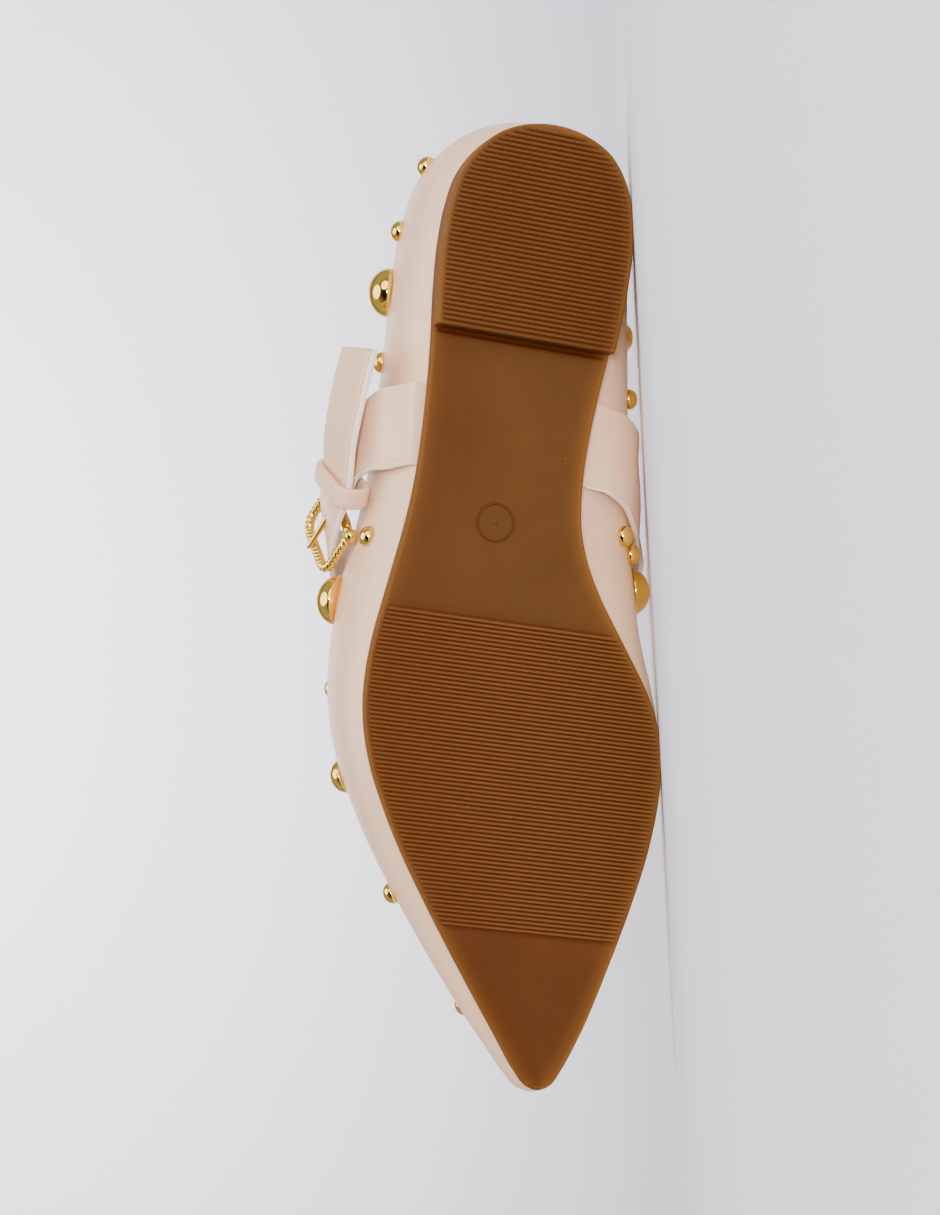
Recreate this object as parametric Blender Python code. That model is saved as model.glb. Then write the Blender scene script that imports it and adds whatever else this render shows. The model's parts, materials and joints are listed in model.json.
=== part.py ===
"""Pointed ballet flat for the left foot, with an instep strap and dome studs, lying on its side.

The shoe is shaped upright in its own millimetre frame: x runs from heel to toe, y to the outer side and
z up from the tread. One turn then lays it on its side, with the sole edge and the upper on the floor.
"""
import math
from collections import namedtuple

import bmesh
import bpy
import numpy as np
from mathutils import Matrix, Vector
from mathutils.bvhtree import BVHTree

# Driving sizes in millimetres, European size 37
SOLE_LENGTH = 256.0
BALL_WIDTH = 80.0
HEEL_SEAT = 9.0
BACK_HEIGHT = 57.0
TOE_SPRING = 6.5
FOREFOOT_THICKNESS = 3.3
ARCH_RISE = 5.0
WALL = 2.4
STRAP_THICKNESS = 2.0
GAP = 0.3
MM = 0.001

# Places along the sole, as shares of its length
HEEL_BREAST = 0.223
SEAT_FRONT = 0.15
BALL_BACK = 0.51
SHANK_FRONT = 0.58
TOE_START = 0.75
CROSS_SKEW = math.radians(8.0)

SOLE_CHAMFER = 0.9
FEATHER_INSET = 0.6
INSOLE_INSET = 3.4
INSOLE_THICKNESS = 2.4
TUCK = 0.3
REACH = 0.38
WIDE_SHARE = 0.42

# Outline of the sole: along in % of its length, outer and inner half widths in % of the ball width
Outline = namedtuple("Outline", "along outer inner")
OUTLINE = [
    Outline(0.0, 0.0, 0.0),
    Outline(1.1, 14.4, 15.9),
    Outline(2.9, 21.6, 24.0),
    Outline(5.2, 27.0, 28.6),
    Outline(8.2, 30.5, 31.3),
    Outline(12.0, 33.0, 31.7),
    Outline(17.0, 34.6, 29.7),
    Outline(22.3, 35.6, 26.1),
    Outline(27.5, 37.2, 21.6),
    Outline(32.8, 39.5, 17.4),
    Outline(38.1, 42.8, 14.6),
    Outline(41.6, 45.8, 14.2),
    Outline(45.1, 49.3, 16.1),
    Outline(48.6, 52.8, 20.2),
    Outline(52.1, 56.2, 25.9),
    Outline(55.7, 58.7, 32.0),
    Outline(59.2, 59.8, 37.4),
    Outline(62.7, 59.2, 40.8),
    Outline(66.2, 57.0, 41.8),
    Outline(69.7, 53.4, 40.8),
    Outline(75.0, 46.6, 37.2),
    Outline(80.3, 38.3, 31.8),
    Outline(87.3, 26.4, 23.6),
    Outline(94.3, 13.7, 14.7),
    Outline(98.3, 5.6, 8.2),
    Outline(100.0, -1.0, 1.0),
]

# The upper at each station of the sole: how far its widest line stands outside the sole edge and above
# the feather edge, and the topline point that the section runs up to. Along and top_along are in % of the
# sole length, top_height in % of the back height, rise in % of the run, lean in degrees, the rest in mm.
Section = namedtuple(
    "Section",
    "along outer_bulge inner_bulge wide_height top_along top_outer top_inner top_height rise lean",
)
SECTIONS = [
    Section(0.0, 4.6, 4.6, 20.0, 1.2, 0.0, 0.0, 100.0, 38, 12),
    Section(2.9, 4.8, 4.9, 20.0, 3.0, 14.0, 14.5, 99.2, 38, 12),
    Section(8.2, 5.2, 5.4, 20.5, 8.0, 22.0, 22.2, 96.0, 38, 13),
    Section(17.0, 6.2, 8.0, 21.5, 16.8, 26.3, 25.4, 88.0, 38, 16),
    Section(27.5, 7.4, 15.8, 22.5, 27.2, 28.4, 26.4, 79.5, 38, 20),
    Section(38.1, 7.2, 22.4, 23.5, 37.8, 31.0, 27.2, 74.5, 38, 24),
    Section(48.6, 6.6, 18.4, 23.5, 47.6, 32.6, 28.0, 72.2, 36, 30),
    Section(55.7, 5.4, 9.4, 20.5, 54.0, 31.2, 27.2, 71.0, 33, 39),
    Section(62.7, 5.0, 4.2, 16.5, 60.2, 26.4, 23.8, 70.8, 29, 50),
    Section(69.7, 4.8, 3.4, 13.5, 64.8, 18.6, 17.6, 71.8, 24, 60),
    Section(80.3, 4.4, 3.3, 10.0, 67.5, 9.4, 9.4, 73.4, 17, 66),
    Section(91.0, 3.4, 2.7, 7.0, 68.2, 3.6, 4.0, 74.2, 11, 69),
    Section(100.0, 1.6, 1.6, 4.4, 68.4, -0.3, 0.3, 74.4, 6, 70),
]

# Routes of the straps, inner face, from the sole upwards: places and width in mm
Route = namedtuple("Route", "x y z width")
STRAP_ROUTE = [
    Route(83.0, -15.2, 7.4, 23.0),
    Route(86.0, -22.6, 10.4, 23.6),
    Route(89.5, -28.4, 15.0, 24.6),
    Route(93.5, -31.6, 21.5, 26.0),
    Route(98.5, -34.4, 31.0, 27.6),
    Route(105.5, -37.6, 44.0, 29.0),
    Route(114.0, -28.6, 59.0, 29.0),
    Route(119.5, -6.0, 67.0, 28.0),
    Route(121.5, 15.0, 64.5, 26.0),
    Route(119.5, 33.5, 57.0, 23.0),
    Route(115.0, 43.4, 48.0, 20.0),
    Route(109.0, 48.0, 39.5, 18.0),
    Route(101.0, 49.4, 32.0, 17.0),
    Route(94.0, 48.5, 27.2, 17.0),
    Route(83.0, 48.4, 24.0, 17.0),
    Route(71.0, 46.6, 22.0, 17.0),
    Route(58.5, 43.6, 21.0, 16.0),
]
ANCHOR_ROUTE = [
    Route(78.6, 31.8, 7.2, 22.5),
    Route(79.2, 35.6, 10.5, 22.0),
    Route(80.8, 39.3, 15.0, 21.0),
    Route(84.4, 43.0, 21.8, 16.0),
    Route(89.6, 45.6, 26.8, 13.0),
    Route(95.6, 46.4, 29.2, 13.0),
]
BAND_ROOT = 8.0
BAND_CLEARANCE = 0.6
BAND_REACH = 5.0
FOOT_AXIS_Y = 3.0
FOOT_AXIS_Z = 36.0

# Side of the shoe that is turned to the floor before it settles, and the steps it may take to settle
SIDE_DOWN = (0.0, -0.95, -0.3)
SETTLE_STEPS = 20

# Rows of the strap's route that lie in the keeper and over the buckle's bar
KEEPER_ROW = 13
BAR_ROW = 12

KEEPER_LENGTH = 8.0
KEEPER_THICKNESS = 1.4
KEEPER_CLEARANCE = 1.0
KEEPER_CORNER = 1.2

BUCKLE_LENGTH = 14.0
BUCKLE_WIDTH = 22.0
BUCKLE_WIRE = 1.4
BUCKLE_CORNER = 4.0
BUCKLE_LIFT = 30.0
PRONG_WIRE = 0.9

# Dome studs: diameter of each size, and each stud's place as the sole station that its section
# starts from, in % of the sole length, and the height along that section in %
STUD_SIZES = {"large": 13.6, "medium": 9.4, "small": 5.8}
STUD_HEIGHT = 0.42
Stud = namedtuple("Stud", "size side along height")
STUDS = [
    Stud("small", "inner", 1.6, 44),
    Stud("small", "inner", 4.6, 44),
    Stud("small", "inner", 10.0, 43),
    Stud("small", "inner", 12.8, 48),
    Stud("large", "inner", 16.6, 68),
    Stud("medium", "inner", 19.6, 47),
    Stud("small", "inner", 26.0, 30),
    Stud("medium", "inner", 26.0, 60),
    Stud("small", "inner", 43.2, 20),
    Stud("small", "inner", 46.4, 28),
    Stud("large", "inner", 51.0, 45),
    Stud("small", "inner", 56.4, 52),
    Stud("small", "inner", 60.4, 52),
    Stud("small", "inner", 63.8, 50),
    Stud("medium", "inner", 70.4, 55),
    Stud("small", "inner", 78.2, 48),
    Stud("small", "outer", 4.0, 46),
    Stud("small", "outer", 10.2, 46),
    Stud("large", "outer", 16.4, 54),
    Stud("small", "outer", 24.0, 46),
    Stud("small", "outer", 43.0, 24),
    Stud("large", "outer", 49.8, 52),
    Stud("small", "outer", 58.6, 58),
    Stud("medium", "outer", 67.0, 54),
    Stud("small", "outer", 78.6, 46),
    Stud("medium", "outer", 57.6, 80),
    Stud("small", "outer", 64.0, 76),
    Stud("large", "outer", 73.4, 72),
    Stud("small", "outer", 80.6, 62),
    Stud("medium", "outer", 86.4, 70),
    Stud("small", "outer", 92.0, 52),
    Stud("large", "outer", 93.2, 86),
    Stud("small", "inner", 58.6, 78),
    Stud("medium", "inner", 66.6, 76),
    Stud("small", "inner", 74.0, 68),
    Stud("large", "inner", 82.4, 68),
    Stud("small", "inner", 88.6, 84),
    Stud("medium", "inner", 92.0, 60),
    Stud("small", "inner", 97.4, 66),
]

# Fineness of the facets, as numbers of steps
RING_STEPS = 88
WALL_STEPS = 13
HEEL_ROWS = 12
FRONT_ROWS = 28
INSOLE_ROWS = 12
SLAB_COLUMNS = 8
BAND_COLUMNS = 4
STRAP_STEPS = 44
ANCHOR_STEPS = 14
KEEPER_STEPS = 3
STUD_SIDES = 10
STUD_RINGS = 6
OUTLINE_SAMPLES = 1601
WELD = 0.001

# Colours as linear RGB with roughness and metallic values
Finish = namedtuple("Finish", "colour roughness metallic")
FINISHES = {
    "rubber": Finish((0.20, 0.078, 0.024), 0.45, 0.0),
    "leather": Finish((0.84, 0.76, 0.70), 0.40, 0.0),
    "lining": Finish((0.70, 0.58, 0.46), 0.60, 0.0),
    "gold": Finish((0.90, 0.62, 0.14), 0.12, 1.0),
}


def ease(share):
    """Smooth step from 0 to 1."""
    share = np.clip(share, 0.0, 1.0)
    return share * share * (3.0 - 2.0 * share)


def toe_spring(x):
    """Rise of the sole in front of the tread."""
    start = TOE_START * SOLE_LENGTH
    return TOE_SPRING * np.clip((x - start) / (SOLE_LENGTH - start), 0.0, None) ** 1.8


def tread_height(x):
    """Underside of the sole in front of the heel breast."""
    breast = HEEL_BREAST * SOLE_LENGTH
    ball = BALL_BACK * SOLE_LENGTH
    return ARCH_RISE * ease((ball - x) / (ball - breast)) + toe_spring(x)


def seat_height(x):
    """Top of the sole, which carries the upper and the insole."""
    back = SEAT_FRONT * SOLE_LENGTH
    front = SHANK_FRONT * SOLE_LENGTH
    lift = (HEEL_SEAT - FOREFOOT_THICKNESS) * ease((front - x) / (front - back))
    return FOREFOOT_THICKNESS + lift + toe_spring(x)


def closed_spline(keys, values, period, at):
    """Smooth closed curve through values at rising keys, read at any keys."""
    gaps = np.diff(np.append(keys, keys[0] + period))[:, None]
    slopes = (np.roll(values, -1, 0) - values) / gaps
    before = np.roll(gaps, 1, 0)
    tangents = (slopes * before + np.roll(slopes, 1, 0) * gaps) / (gaps + before)
    at = np.mod(at, period)
    i = np.clip(np.searchsorted(keys, at, side="right") - 1, 0, len(keys) - 1)
    j = (i + 1) % len(keys)
    gap = gaps[i]
    t = (at[:, None] - keys[i][:, None]) / gap
    return (
        values[i] * (1 + 2 * t) * (1 - t) ** 2
        + tangents[i] * gap * t * (1 - t) ** 2
        + values[j] * t * t * (3 - 2 * t)
        + tangents[j] * gap * t * t * (t - 1)
    )


def open_spline(points, at):
    """Smooth curve through points, read at shares from 0 to 1 of its length."""
    points = np.asarray(points, float)
    steps = np.linalg.norm(np.diff(points[:, :3], axis=0), axis=1)
    keys = np.append(0.0, np.cumsum(steps))
    tangents = np.gradient(points, keys, axis=0, edge_order=2)
    at = np.asarray(at) * keys[-1]
    i = np.clip(np.searchsorted(keys, at, side="right") - 1, 0, len(keys) - 2)
    gap = (keys[i + 1] - keys[i])[:, None]
    t = (at - keys[i])[:, None] / gap
    return (
        points[i] * (1 + 2 * t) * (1 - t) ** 2
        + tangents[i] * gap * t * (1 - t) ** 2
        + points[i + 1] * t * t * (3 - 2 * t)
        + tangents[i + 1] * gap * t * t * (t - 1)
    )


class Last:
    """The closed loop round the sole, from the heel by the outer side to the toe and back."""

    def __init__(self):
        self.half = len(OUTLINE) - 1
        outer = [(row.along * SOLE_LENGTH, row.outer * BALL_WIDTH) for row in OUTLINE]
        inner = [(row.along * SOLE_LENGTH, -row.inner * BALL_WIDTH) for row in OUTLINE]
        self.knots = np.array(outer + inner[-2:0:-1]) / 100.0
        steps = np.linalg.norm(np.roll(self.knots, -1, 0) - self.knots, axis=1)
        self.keys = np.append(0.0, np.cumsum(steps[:-1]))
        self.period = steps.sum()
        self.toe_key = self.keys[self.half]
        top = [self.section_row(row, 1) for row in SECTIONS]
        top += [self.section_row(row, -1) for row in SECTIONS[-2:0:-1]]
        top = np.array(top)
        self.section_keys = top[:, 0]
        self.section_values = top[:, 1:]

    def key(self, along, side):
        """Distance round the loop of a sole station, given in % of the sole length."""
        x = along / 100.0 * SOLE_LENGTH
        if side > 0:
            return np.interp(x, self.knots[: self.half + 1, 0], self.keys[: self.half + 1])
        inner_x = np.append(self.knots[self.half:, 0], 0.0)
        inner_keys = np.append(self.keys[self.half:], self.period)
        return np.interp(-x, -inner_x, inner_keys)

    def section_row(self, row, side):
        """A section's loop distance, widest line, topline point and shape."""
        bulge = row.outer_bulge if side > 0 else row.inner_bulge
        top_half = row.top_outer if side > 0 else -row.top_inner
        return (
            self.key(row.along, side),
            bulge,
            row.wide_height,
            row.top_along / 100.0 * SOLE_LENGTH,
            top_half,
            row.top_height / 100.0 * BACK_HEIGHT,
            row.rise / 100.0,
            math.radians(row.lean),
        )

    def outline(self, keys):
        """Points on the sole's edge and outward directions, both in plan."""
        step = 0.2
        points = closed_spline(self.keys, self.knots, self.period, keys)
        ahead = closed_spline(self.keys, self.knots, self.period, keys + step)
        behind = closed_spline(self.keys, self.knots, self.period, keys - step)
        run = ahead - behind
        out = np.stack([-run[:, 1], run[:, 0]], axis=1)
        return points, out / np.linalg.norm(out, axis=1)[:, None]

    def ring_keys(self, count):
        """Loop distances that are closer together round the heel and the toe."""
        knot_count = len(self.keys)
        rows = np.arange(knot_count + 1)
        return np.interp(np.arange(count) * knot_count / count, rows, np.append(self.keys, self.period))

    def upper(self, keys, heights):
        """Outer face of the upper: heights run from 0 at the sole to 1 at the topline."""
        edge, out = self.outline(keys)
        values = closed_spline(self.section_keys, self.section_values, self.period, keys)
        bulge, wide_height, top_x, top_y, top_z, rise, lean = values.T
        up = np.array([0.0, 0.0, 1.0])
        feather_z = seat_height(edge[:, 0]) + GAP
        feather = np.column_stack([edge - FEATHER_INSET * out, feather_z])
        wide = np.column_stack([edge + bulge[:, None] * out, feather_z + wide_height])
        tuck = np.column_stack([wide[:, :2], feather_z + TUCK * wide_height])
        top = np.column_stack([top_x, top_y, top_z])
        inward = top[:, :2] - wide[:, :2]
        inward = inward / np.linalg.norm(inward, axis=1)[:, None]
        run = np.linalg.norm(top - wide, axis=1)[:, None]
        heading = np.column_stack([inward * np.sin(lean)[:, None], np.cos(lean)])
        shoulder = wide + up * run * rise[:, None]
        brow = top - heading * run * REACH
        low = np.clip(heights / WIDE_SHARE, 0.0, 1.0)[:, None]
        high = np.clip((heights - WIDE_SHARE) / (1.0 - WIDE_SHARE), 0.0, 1.0)[:, None]
        under = feather * (1 - low) ** 2 + tuck * 2 * low * (1 - low) + wide * low**2
        over = (
            wide * (1 - high) ** 3
            + shoulder * 3 * high * (1 - high) ** 2
            + brow * 3 * high**2 * (1 - high)
            + top * high**3
        )
        return np.where(low < 1.0, under, over)


def finish_material(name):
    """Plain material of a finish."""
    finish = FINISHES[name]
    material = bpy.data.materials.get(name) or bpy.data.materials.new(name)
    material.use_nodes = True
    shader = material.node_tree.nodes["Principled BSDF"]
    shader.inputs["Base Color"].default_value = (*finish.colour, 1.0)
    shader.inputs["Roughness"].default_value = finish.roughness
    shader.inputs["Metallic"].default_value = finish.metallic
    return material


def add_object(name, data, finish):
    """Put a mesh or a curve in the scene with its finish."""
    if not data.materials:
        data.materials.append(finish_material(finish))
    item = bpy.data.objects.new(name, data)
    bpy.context.collection.objects.link(item)
    return item


def metre_mesh(name, bm):
    """Turn a millimetre bmesh into a smooth-shaded mesh in metres."""
    bmesh.ops.scale(bm, vec=(MM, MM, MM), verts=bm.verts)
    mesh = bpy.data.meshes.new(name)
    bm.to_mesh(mesh)
    bm.free()
    mesh.shade_smooth()
    return mesh


def mapped_grid(columns, rows, place):
    """Grid whose points go where place puts their column and row numbers; doubles are merged."""
    bm = bmesh.new()
    bmesh.ops.create_grid(bm, x_segments=columns, y_segments=rows, size=0.5)
    shares = np.array([(vert.co.x + 0.5, vert.co.y + 0.5) for vert in bm.verts])
    numbers = np.rint(shares * (columns, rows)).astype(int)
    for vert, point in zip(bm.verts, place(numbers[:, 0], numbers[:, 1])):
        vert.co = point
    bmesh.ops.remove_doubles(bm, verts=bm.verts, dist=WELD)
    return bm


def thicken(item, thickness, outward):
    """Give a sheet its real thickness, inside or outside its face."""
    solidify = item.modifiers.new("thickness", "SOLIDIFY")
    solidify.thickness = thickness * MM
    solidify.offset = 1.0 if outward else -1.0
    solidify.use_even_offset = True
    return item


def sole_sides(stations, inset):
    """Outer and inner edge of the sole, less an inset, on skewed cross lines at the stations."""
    edge, out = LAST.outline(np.linspace(0.0, LAST.period, OUTLINE_SAMPLES))
    edge = edge - inset * out
    line = edge[:, 0] + edge[:, 1] * math.tan(CROSS_SKEW)
    toe = int(np.argmax(line))
    outer = np.arange(toe + 1)
    inner = np.arange(len(line) - 1, toe - 1, -1)
    outer_y = np.interp(stations, np.maximum.accumulate(line[outer]), edge[outer, 1])
    inner_y = np.interp(stations, np.maximum.accumulate(line[inner]), edge[inner, 1])
    return np.maximum(outer_y, inner_y), inner_y


def sole_ends(inset):
    """First and last cross line of the sole, less an inset."""
    edge, out = LAST.outline(np.linspace(0.0, LAST.period, OUTLINE_SAMPLES))
    edge = edge - inset * out
    line = edge[:, 0] + edge[:, 1] * math.tan(CROSS_SKEW)
    return line.min(), line.max()


def lofted_slab(stations, inset, heights):
    """Closed bmesh through cross sections of the sole; heights gives under and top at x and a row."""
    outer_y, inner_y = sole_sides(stations, inset)
    low_outer, low_inner = sole_sides(stations, inset + SOLE_CHAMFER)
    loop = 2 * SLAB_COLUMNS + 4
    rows = len(stations) - 1

    def place(column, row):
        corner = column % loop
        is_under = corner <= SLAB_COLUMNS
        is_top = (corner >= SLAB_COLUMNS + 2) & (corner <= 2 * SLAB_COLUMNS + 2)
        share = np.where(is_under, corner, corner - SLAB_COLUMNS - 2) / SLAB_COLUMNS
        under_y = low_outer[row] + (low_inner - low_outer)[row] * share
        top_y = inner_y[row] + (outer_y - inner_y)[row] * share
        side_y = np.where(corner == SLAB_COLUMNS + 1, inner_y[row], outer_y[row])
        y = np.where(is_under, under_y, np.where(is_top, top_y, side_y))
        x = stations[row] - y * math.tan(CROSS_SKEW)
        under, top = heights(x, row)
        z = np.where(is_under, under, np.where(is_top, top, under + SOLE_CHAMFER))
        return np.column_stack([x, y, z])

    bm = mapped_grid(loop, rows, place)
    bmesh.ops.recalc_face_normals(bm, faces=bm.faces)
    return bm


def quarter_steps(count):
    """Shares from 0 to 1 that start close together."""
    return 1.0 - np.cos(np.linspace(0.0, math.pi / 2, count))


def make_outsole():
    """Moulded rubber unit: heel block with its breast, arched waist, flat forefoot and toe spring."""
    first, last = sole_ends(0.0)
    breast = HEEL_BREAST * SOLE_LENGTH
    heel = first + (breast - first) * quarter_steps(HEEL_ROWS)
    front = last + (breast - last) * quarter_steps(FRONT_ROWS)[::-1]

    def heights(x, row):
        under = np.where(row < HEEL_ROWS, 0.0, tread_height(x))
        return under, seat_height(x)

    bm = lofted_slab(np.concatenate([heel, front]), 0.0, heights)
    add_object("outsole", metre_mesh("outsole", bm), "rubber")


def make_insole():
    """Covered board that lies on the sole inside the upper."""
    first, last = sole_ends(INSOLE_INSET)
    middle = 0.5 * (first + last)
    back = first + (middle - first) * quarter_steps(INSOLE_ROWS)
    front = last + (middle - last) * quarter_steps(INSOLE_ROWS)[::-1]

    def heights(x, row):
        under = seat_height(x) + GAP
        return under, under + INSOLE_THICKNESS

    bm = lofted_slab(np.concatenate([back, front[1:]]), INSOLE_INSET, heights)
    add_object("insole", metre_mesh("insole", bm), "lining")


def make_upper():
    """Hollow leather shell, open at the collar and underneath."""
    keys = LAST.ring_keys(RING_STEPS)

    def place(column, row):
        return LAST.upper(keys[column % RING_STEPS], row / WALL_STEPS)

    bm = mapped_grid(RING_STEPS, WALL_STEPS, place)
    bmesh.ops.recalc_face_normals(bm, faces=bm.faces)
    tree = BVHTree.FromBMesh(bm)
    thicken(add_object("upper", metre_mesh("upper", bm), "leather"), WALL, outward=False)
    return tree


class Band:
    """A flat strap along a route, with its run, its outward side and its width direction."""

    def __init__(self, route):
        self.route = np.array(route)
        steps = np.linalg.norm(np.diff(self.route[:, :3], axis=0), axis=1)
        self.length = steps.sum()
        self.row_shares = np.append(0.0, np.cumsum(steps)) / self.length

    def frame(self, shares):
        """Centre, run, outward and across directions, and width, at shares of the length."""
        step = 0.002
        here = open_spline(self.route, shares)
        ahead = open_spline(self.route, np.clip(shares + step, 0.0, 1.0))
        behind = open_spline(self.route, np.clip(shares - step, 0.0, 1.0))
        run = (ahead - behind)[:, :3]
        run /= np.linalg.norm(run, axis=1)[:, None]
        out = here[:, :3] - (0.0, FOOT_AXIS_Y, FOOT_AXIS_Z)
        out[:, 0] = 0.0
        out -= run * np.sum(out * run, axis=1)[:, None]
        out /= np.linalg.norm(out, axis=1)[:, None]
        return here[:, :3], run, out, np.cross(run, out), here[:, 3]


def settle(points, tree):
    """Move points that are inside the upper, or too near it, out to the strap's clearance."""
    for point in points:
        place, normal, _, _ = tree.find_nearest(Vector(point), BAND_REACH)
        if place is None:
            continue
        depth = (Vector(point) - place).dot(normal)
        if depth < BAND_CLEARANCE:
            point += np.array(normal) * (BAND_CLEARANCE - depth)
    return points


def sole_edge(x, side):
    """Distance of the sole's edge from its middle line, at x on one side."""
    edge, _ = LAST.outline(np.linspace(0.0, LAST.period, OUTLINE_SAMPLES))
    toe = int(np.argmax(edge[:, 0]))
    half = edge[: toe + 1] if side > 0 else edge[:toe - 1:-1]
    return np.interp(x, np.maximum.accumulate(half[:, 0]), half[:, 1])


def make_band(name, band, steps, upper_tree):
    """Leather strap of real thickness that starts along the sole's edge and lies on the upper."""
    shares = np.linspace(0.0, 1.0, steps + 1)
    centre, _, out, across, width = band.frame(shares)
    side = math.copysign(1.0, centre[0, 1])

    def place(column, row):
        share = column / BAND_COLUMNS - 0.5
        points = centre[row] + across[row] * (width[row] * share)[:, None]
        rooted = np.clip(1.0 - shares[row] * band.length / BAND_ROOT, 0.0, 1.0)
        root_y = sole_edge(points[:, 0], side) + side * BAND_CLEARANCE
        root_z = seat_height(points[:, 0])
        points[:, 1] += (root_y - points[:, 1]) * rooted
        points[:, 2] += (root_z - points[:, 2]) * rooted
        return settle(points, upper_tree)

    bm = mapped_grid(BAND_COLUMNS, steps, place)
    bm.faces.ensure_lookup_table()
    bm.normal_update()
    nearest = np.argmin(np.linalg.norm(centre - np.array(bm.faces[0].calc_center_median()), axis=1))
    if bm.faces[0].normal.dot(Vector(out[nearest])) < 0:
        bmesh.ops.reverse_faces(bm, faces=bm.faces)
    return thicken(add_object(name, metre_mesh(name, bm), "leather"), STRAP_THICKNESS, outward=True)


def rounded_loop(half_width, half_height, corner, corner_steps):
    """Points round a rectangle with round corners."""
    points = []
    for quarter, (sx, sy) in enumerate(((1, 1), (-1, 1), (-1, -1), (1, -1))):
        for step in range(corner_steps + 1):
            angle = (quarter + step / corner_steps) * math.pi / 2
            x = sx * (half_width - corner) + corner * math.cos(angle)
            y = sy * (half_height - corner) + corner * math.sin(angle)
            points.append((x, y))
    return np.array(points)


def make_keeper(strap):
    """Leather loop round the strap and its anchor."""
    half_length = KEEPER_LENGTH / 2 / strap.length
    middle = strap.row_shares[KEEPER_ROW]
    shares = np.linspace(middle - half_length, middle + half_length, KEEPER_STEPS + 1)
    centre, _, out, across, width = strap.frame(shares)
    below = STRAP_THICKNESS + 2 * KEEPER_CLEARANCE
    above = STRAP_THICKNESS + KEEPER_CLEARANCE
    loop = rounded_loop(width[0] / 2 + KEEPER_CLEARANCE, (below + above) / 2, KEEPER_CORNER, 3)
    loop[:, 1] += (above - below) / 2

    def place(column, row):
        point = loop[column % len(loop)]
        return centre[row] + across[row] * point[:, :1] + out[row] * point[:, 1:]

    bm = mapped_grid(len(loop), KEEPER_STEPS, place)
    bmesh.ops.recalc_face_normals(bm, faces=bm.faces)
    item = add_object("strap_keeper", metre_mesh("strap_keeper", bm), "leather")
    thicken(item, KEEPER_THICKNESS, outward=True)


def add_wire(name, points, radius, closed):
    """Round wire of a radius along points, as a bevelled curve."""
    curve = bpy.data.curves.new(name, "CURVE")
    curve.dimensions = "3D"
    curve.bevel_depth = radius * MM
    curve.bevel_resolution = 2
    curve.use_fill_caps = not closed
    spline = curve.splines.new("POLY")
    spline.points.add(len(points) - 1)
    spline.use_cyclic_u = closed
    for target, point in zip(spline.points, points):
        target.co = (*(np.array(point) * MM), 1.0)
    return add_object(name, curve, "gold")


def make_buckle(strap):
    """Gold frame with its bar under the strap, and the prong that lies over it."""
    centre, run, out, across, _ = strap.frame(strap.row_shares[[BAR_ROW]])
    bar = centre[0] - out[0] * (BUCKLE_WIRE + 2 * GAP)
    lift = math.radians(BUCKLE_LIFT)
    reach = -run[0] * math.cos(lift) + out[0] * math.sin(lift)
    middle = bar + reach * BUCKLE_LENGTH / 2
    loop = rounded_loop(BUCKLE_LENGTH / 2, BUCKLE_WIDTH / 2, BUCKLE_CORNER, 4)
    frame = [middle + reach * point[0] + across[0] * point[1] for point in loop]
    add_wire("buckle_frame", frame, BUCKLE_WIRE, closed=True)
    over = out[0] * (2 * BUCKLE_WIRE + STRAP_THICKNESS + 2 * GAP)
    tip = bar + reach * (BUCKLE_LENGTH + BUCKLE_WIRE) + out[0] * (BUCKLE_WIRE + PRONG_WIRE + GAP)
    root = bar + over
    add_wire("buckle_prong", [root, 0.5 * (root + tip), tip], PRONG_WIRE, closed=False)


def surface_frame(key, height):
    """Point of the upper and its outward direction."""
    step = 0.01
    keys = np.array([key, key + 1.0, key - 1.0, key, key])
    heights = np.array([height, height, height, height + step, height - step])
    points = LAST.upper(keys, heights)
    normal = np.cross(points[3] - points[4], points[1] - points[2])
    return Vector(points[0]), Vector(normal).normalized()


def dome(diameter):
    """Flattened half ball with a flat base, in millimetres."""
    bm = bmesh.new()
    bmesh.ops.create_uvsphere(bm, u_segments=STUD_SIDES, v_segments=STUD_RINGS, radius=diameter / 2)
    geometry = bm.verts[:] + bm.edges[:] + bm.faces[:]
    bmesh.ops.bisect_plane(bm, geom=geometry, plane_co=(0, 0, 0), plane_no=(0, 0, 1), clear_inner=True)
    bmesh.ops.holes_fill(bm, edges=[edge for edge in bm.edges if edge.is_boundary], sides=0)
    bmesh.ops.scale(bm, vec=(1.0, 1.0, 2 * STUD_HEIGHT), verts=bm.verts)
    bmesh.ops.recalc_face_normals(bm, faces=bm.faces)
    return bm


def make_studs(upper_tree):
    """Gold domes on the upper, each standing off it by the gap."""
    meshes = {size: metre_mesh("stud_" + size, dome(wide)) for size, wide in STUD_SIZES.items()}
    for number, stud in enumerate(STUDS, start=1):
        side = 1 if stud.side == "outer" else -1
        point, normal = surface_frame(LAST.key(stud.along, side), stud.height / 100.0)
        turn = normal.to_track_quat("Z", "Y").to_matrix()
        radius = STUD_SIZES[stud.size] / 2
        nearest = math.inf
        for step in range(STUD_SIDES):
            angle = 2 * math.pi * step / STUD_SIDES
            rim = point + turn @ Vector((math.cos(angle), math.sin(angle), 0.0)) * radius
            place, facing, _, _ = upper_tree.find_nearest(rim)
            nearest = min(nearest, (rim - place).dot(facing))
        foot = point + normal * (GAP - min(nearest, 0.0))
        item = add_object(f"stud_{number:02d}_{stud.size}", meshes[stud.size], "gold")
        item.matrix_world = Matrix.Translation(foot * MM) @ turn.to_4x4()


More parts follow.
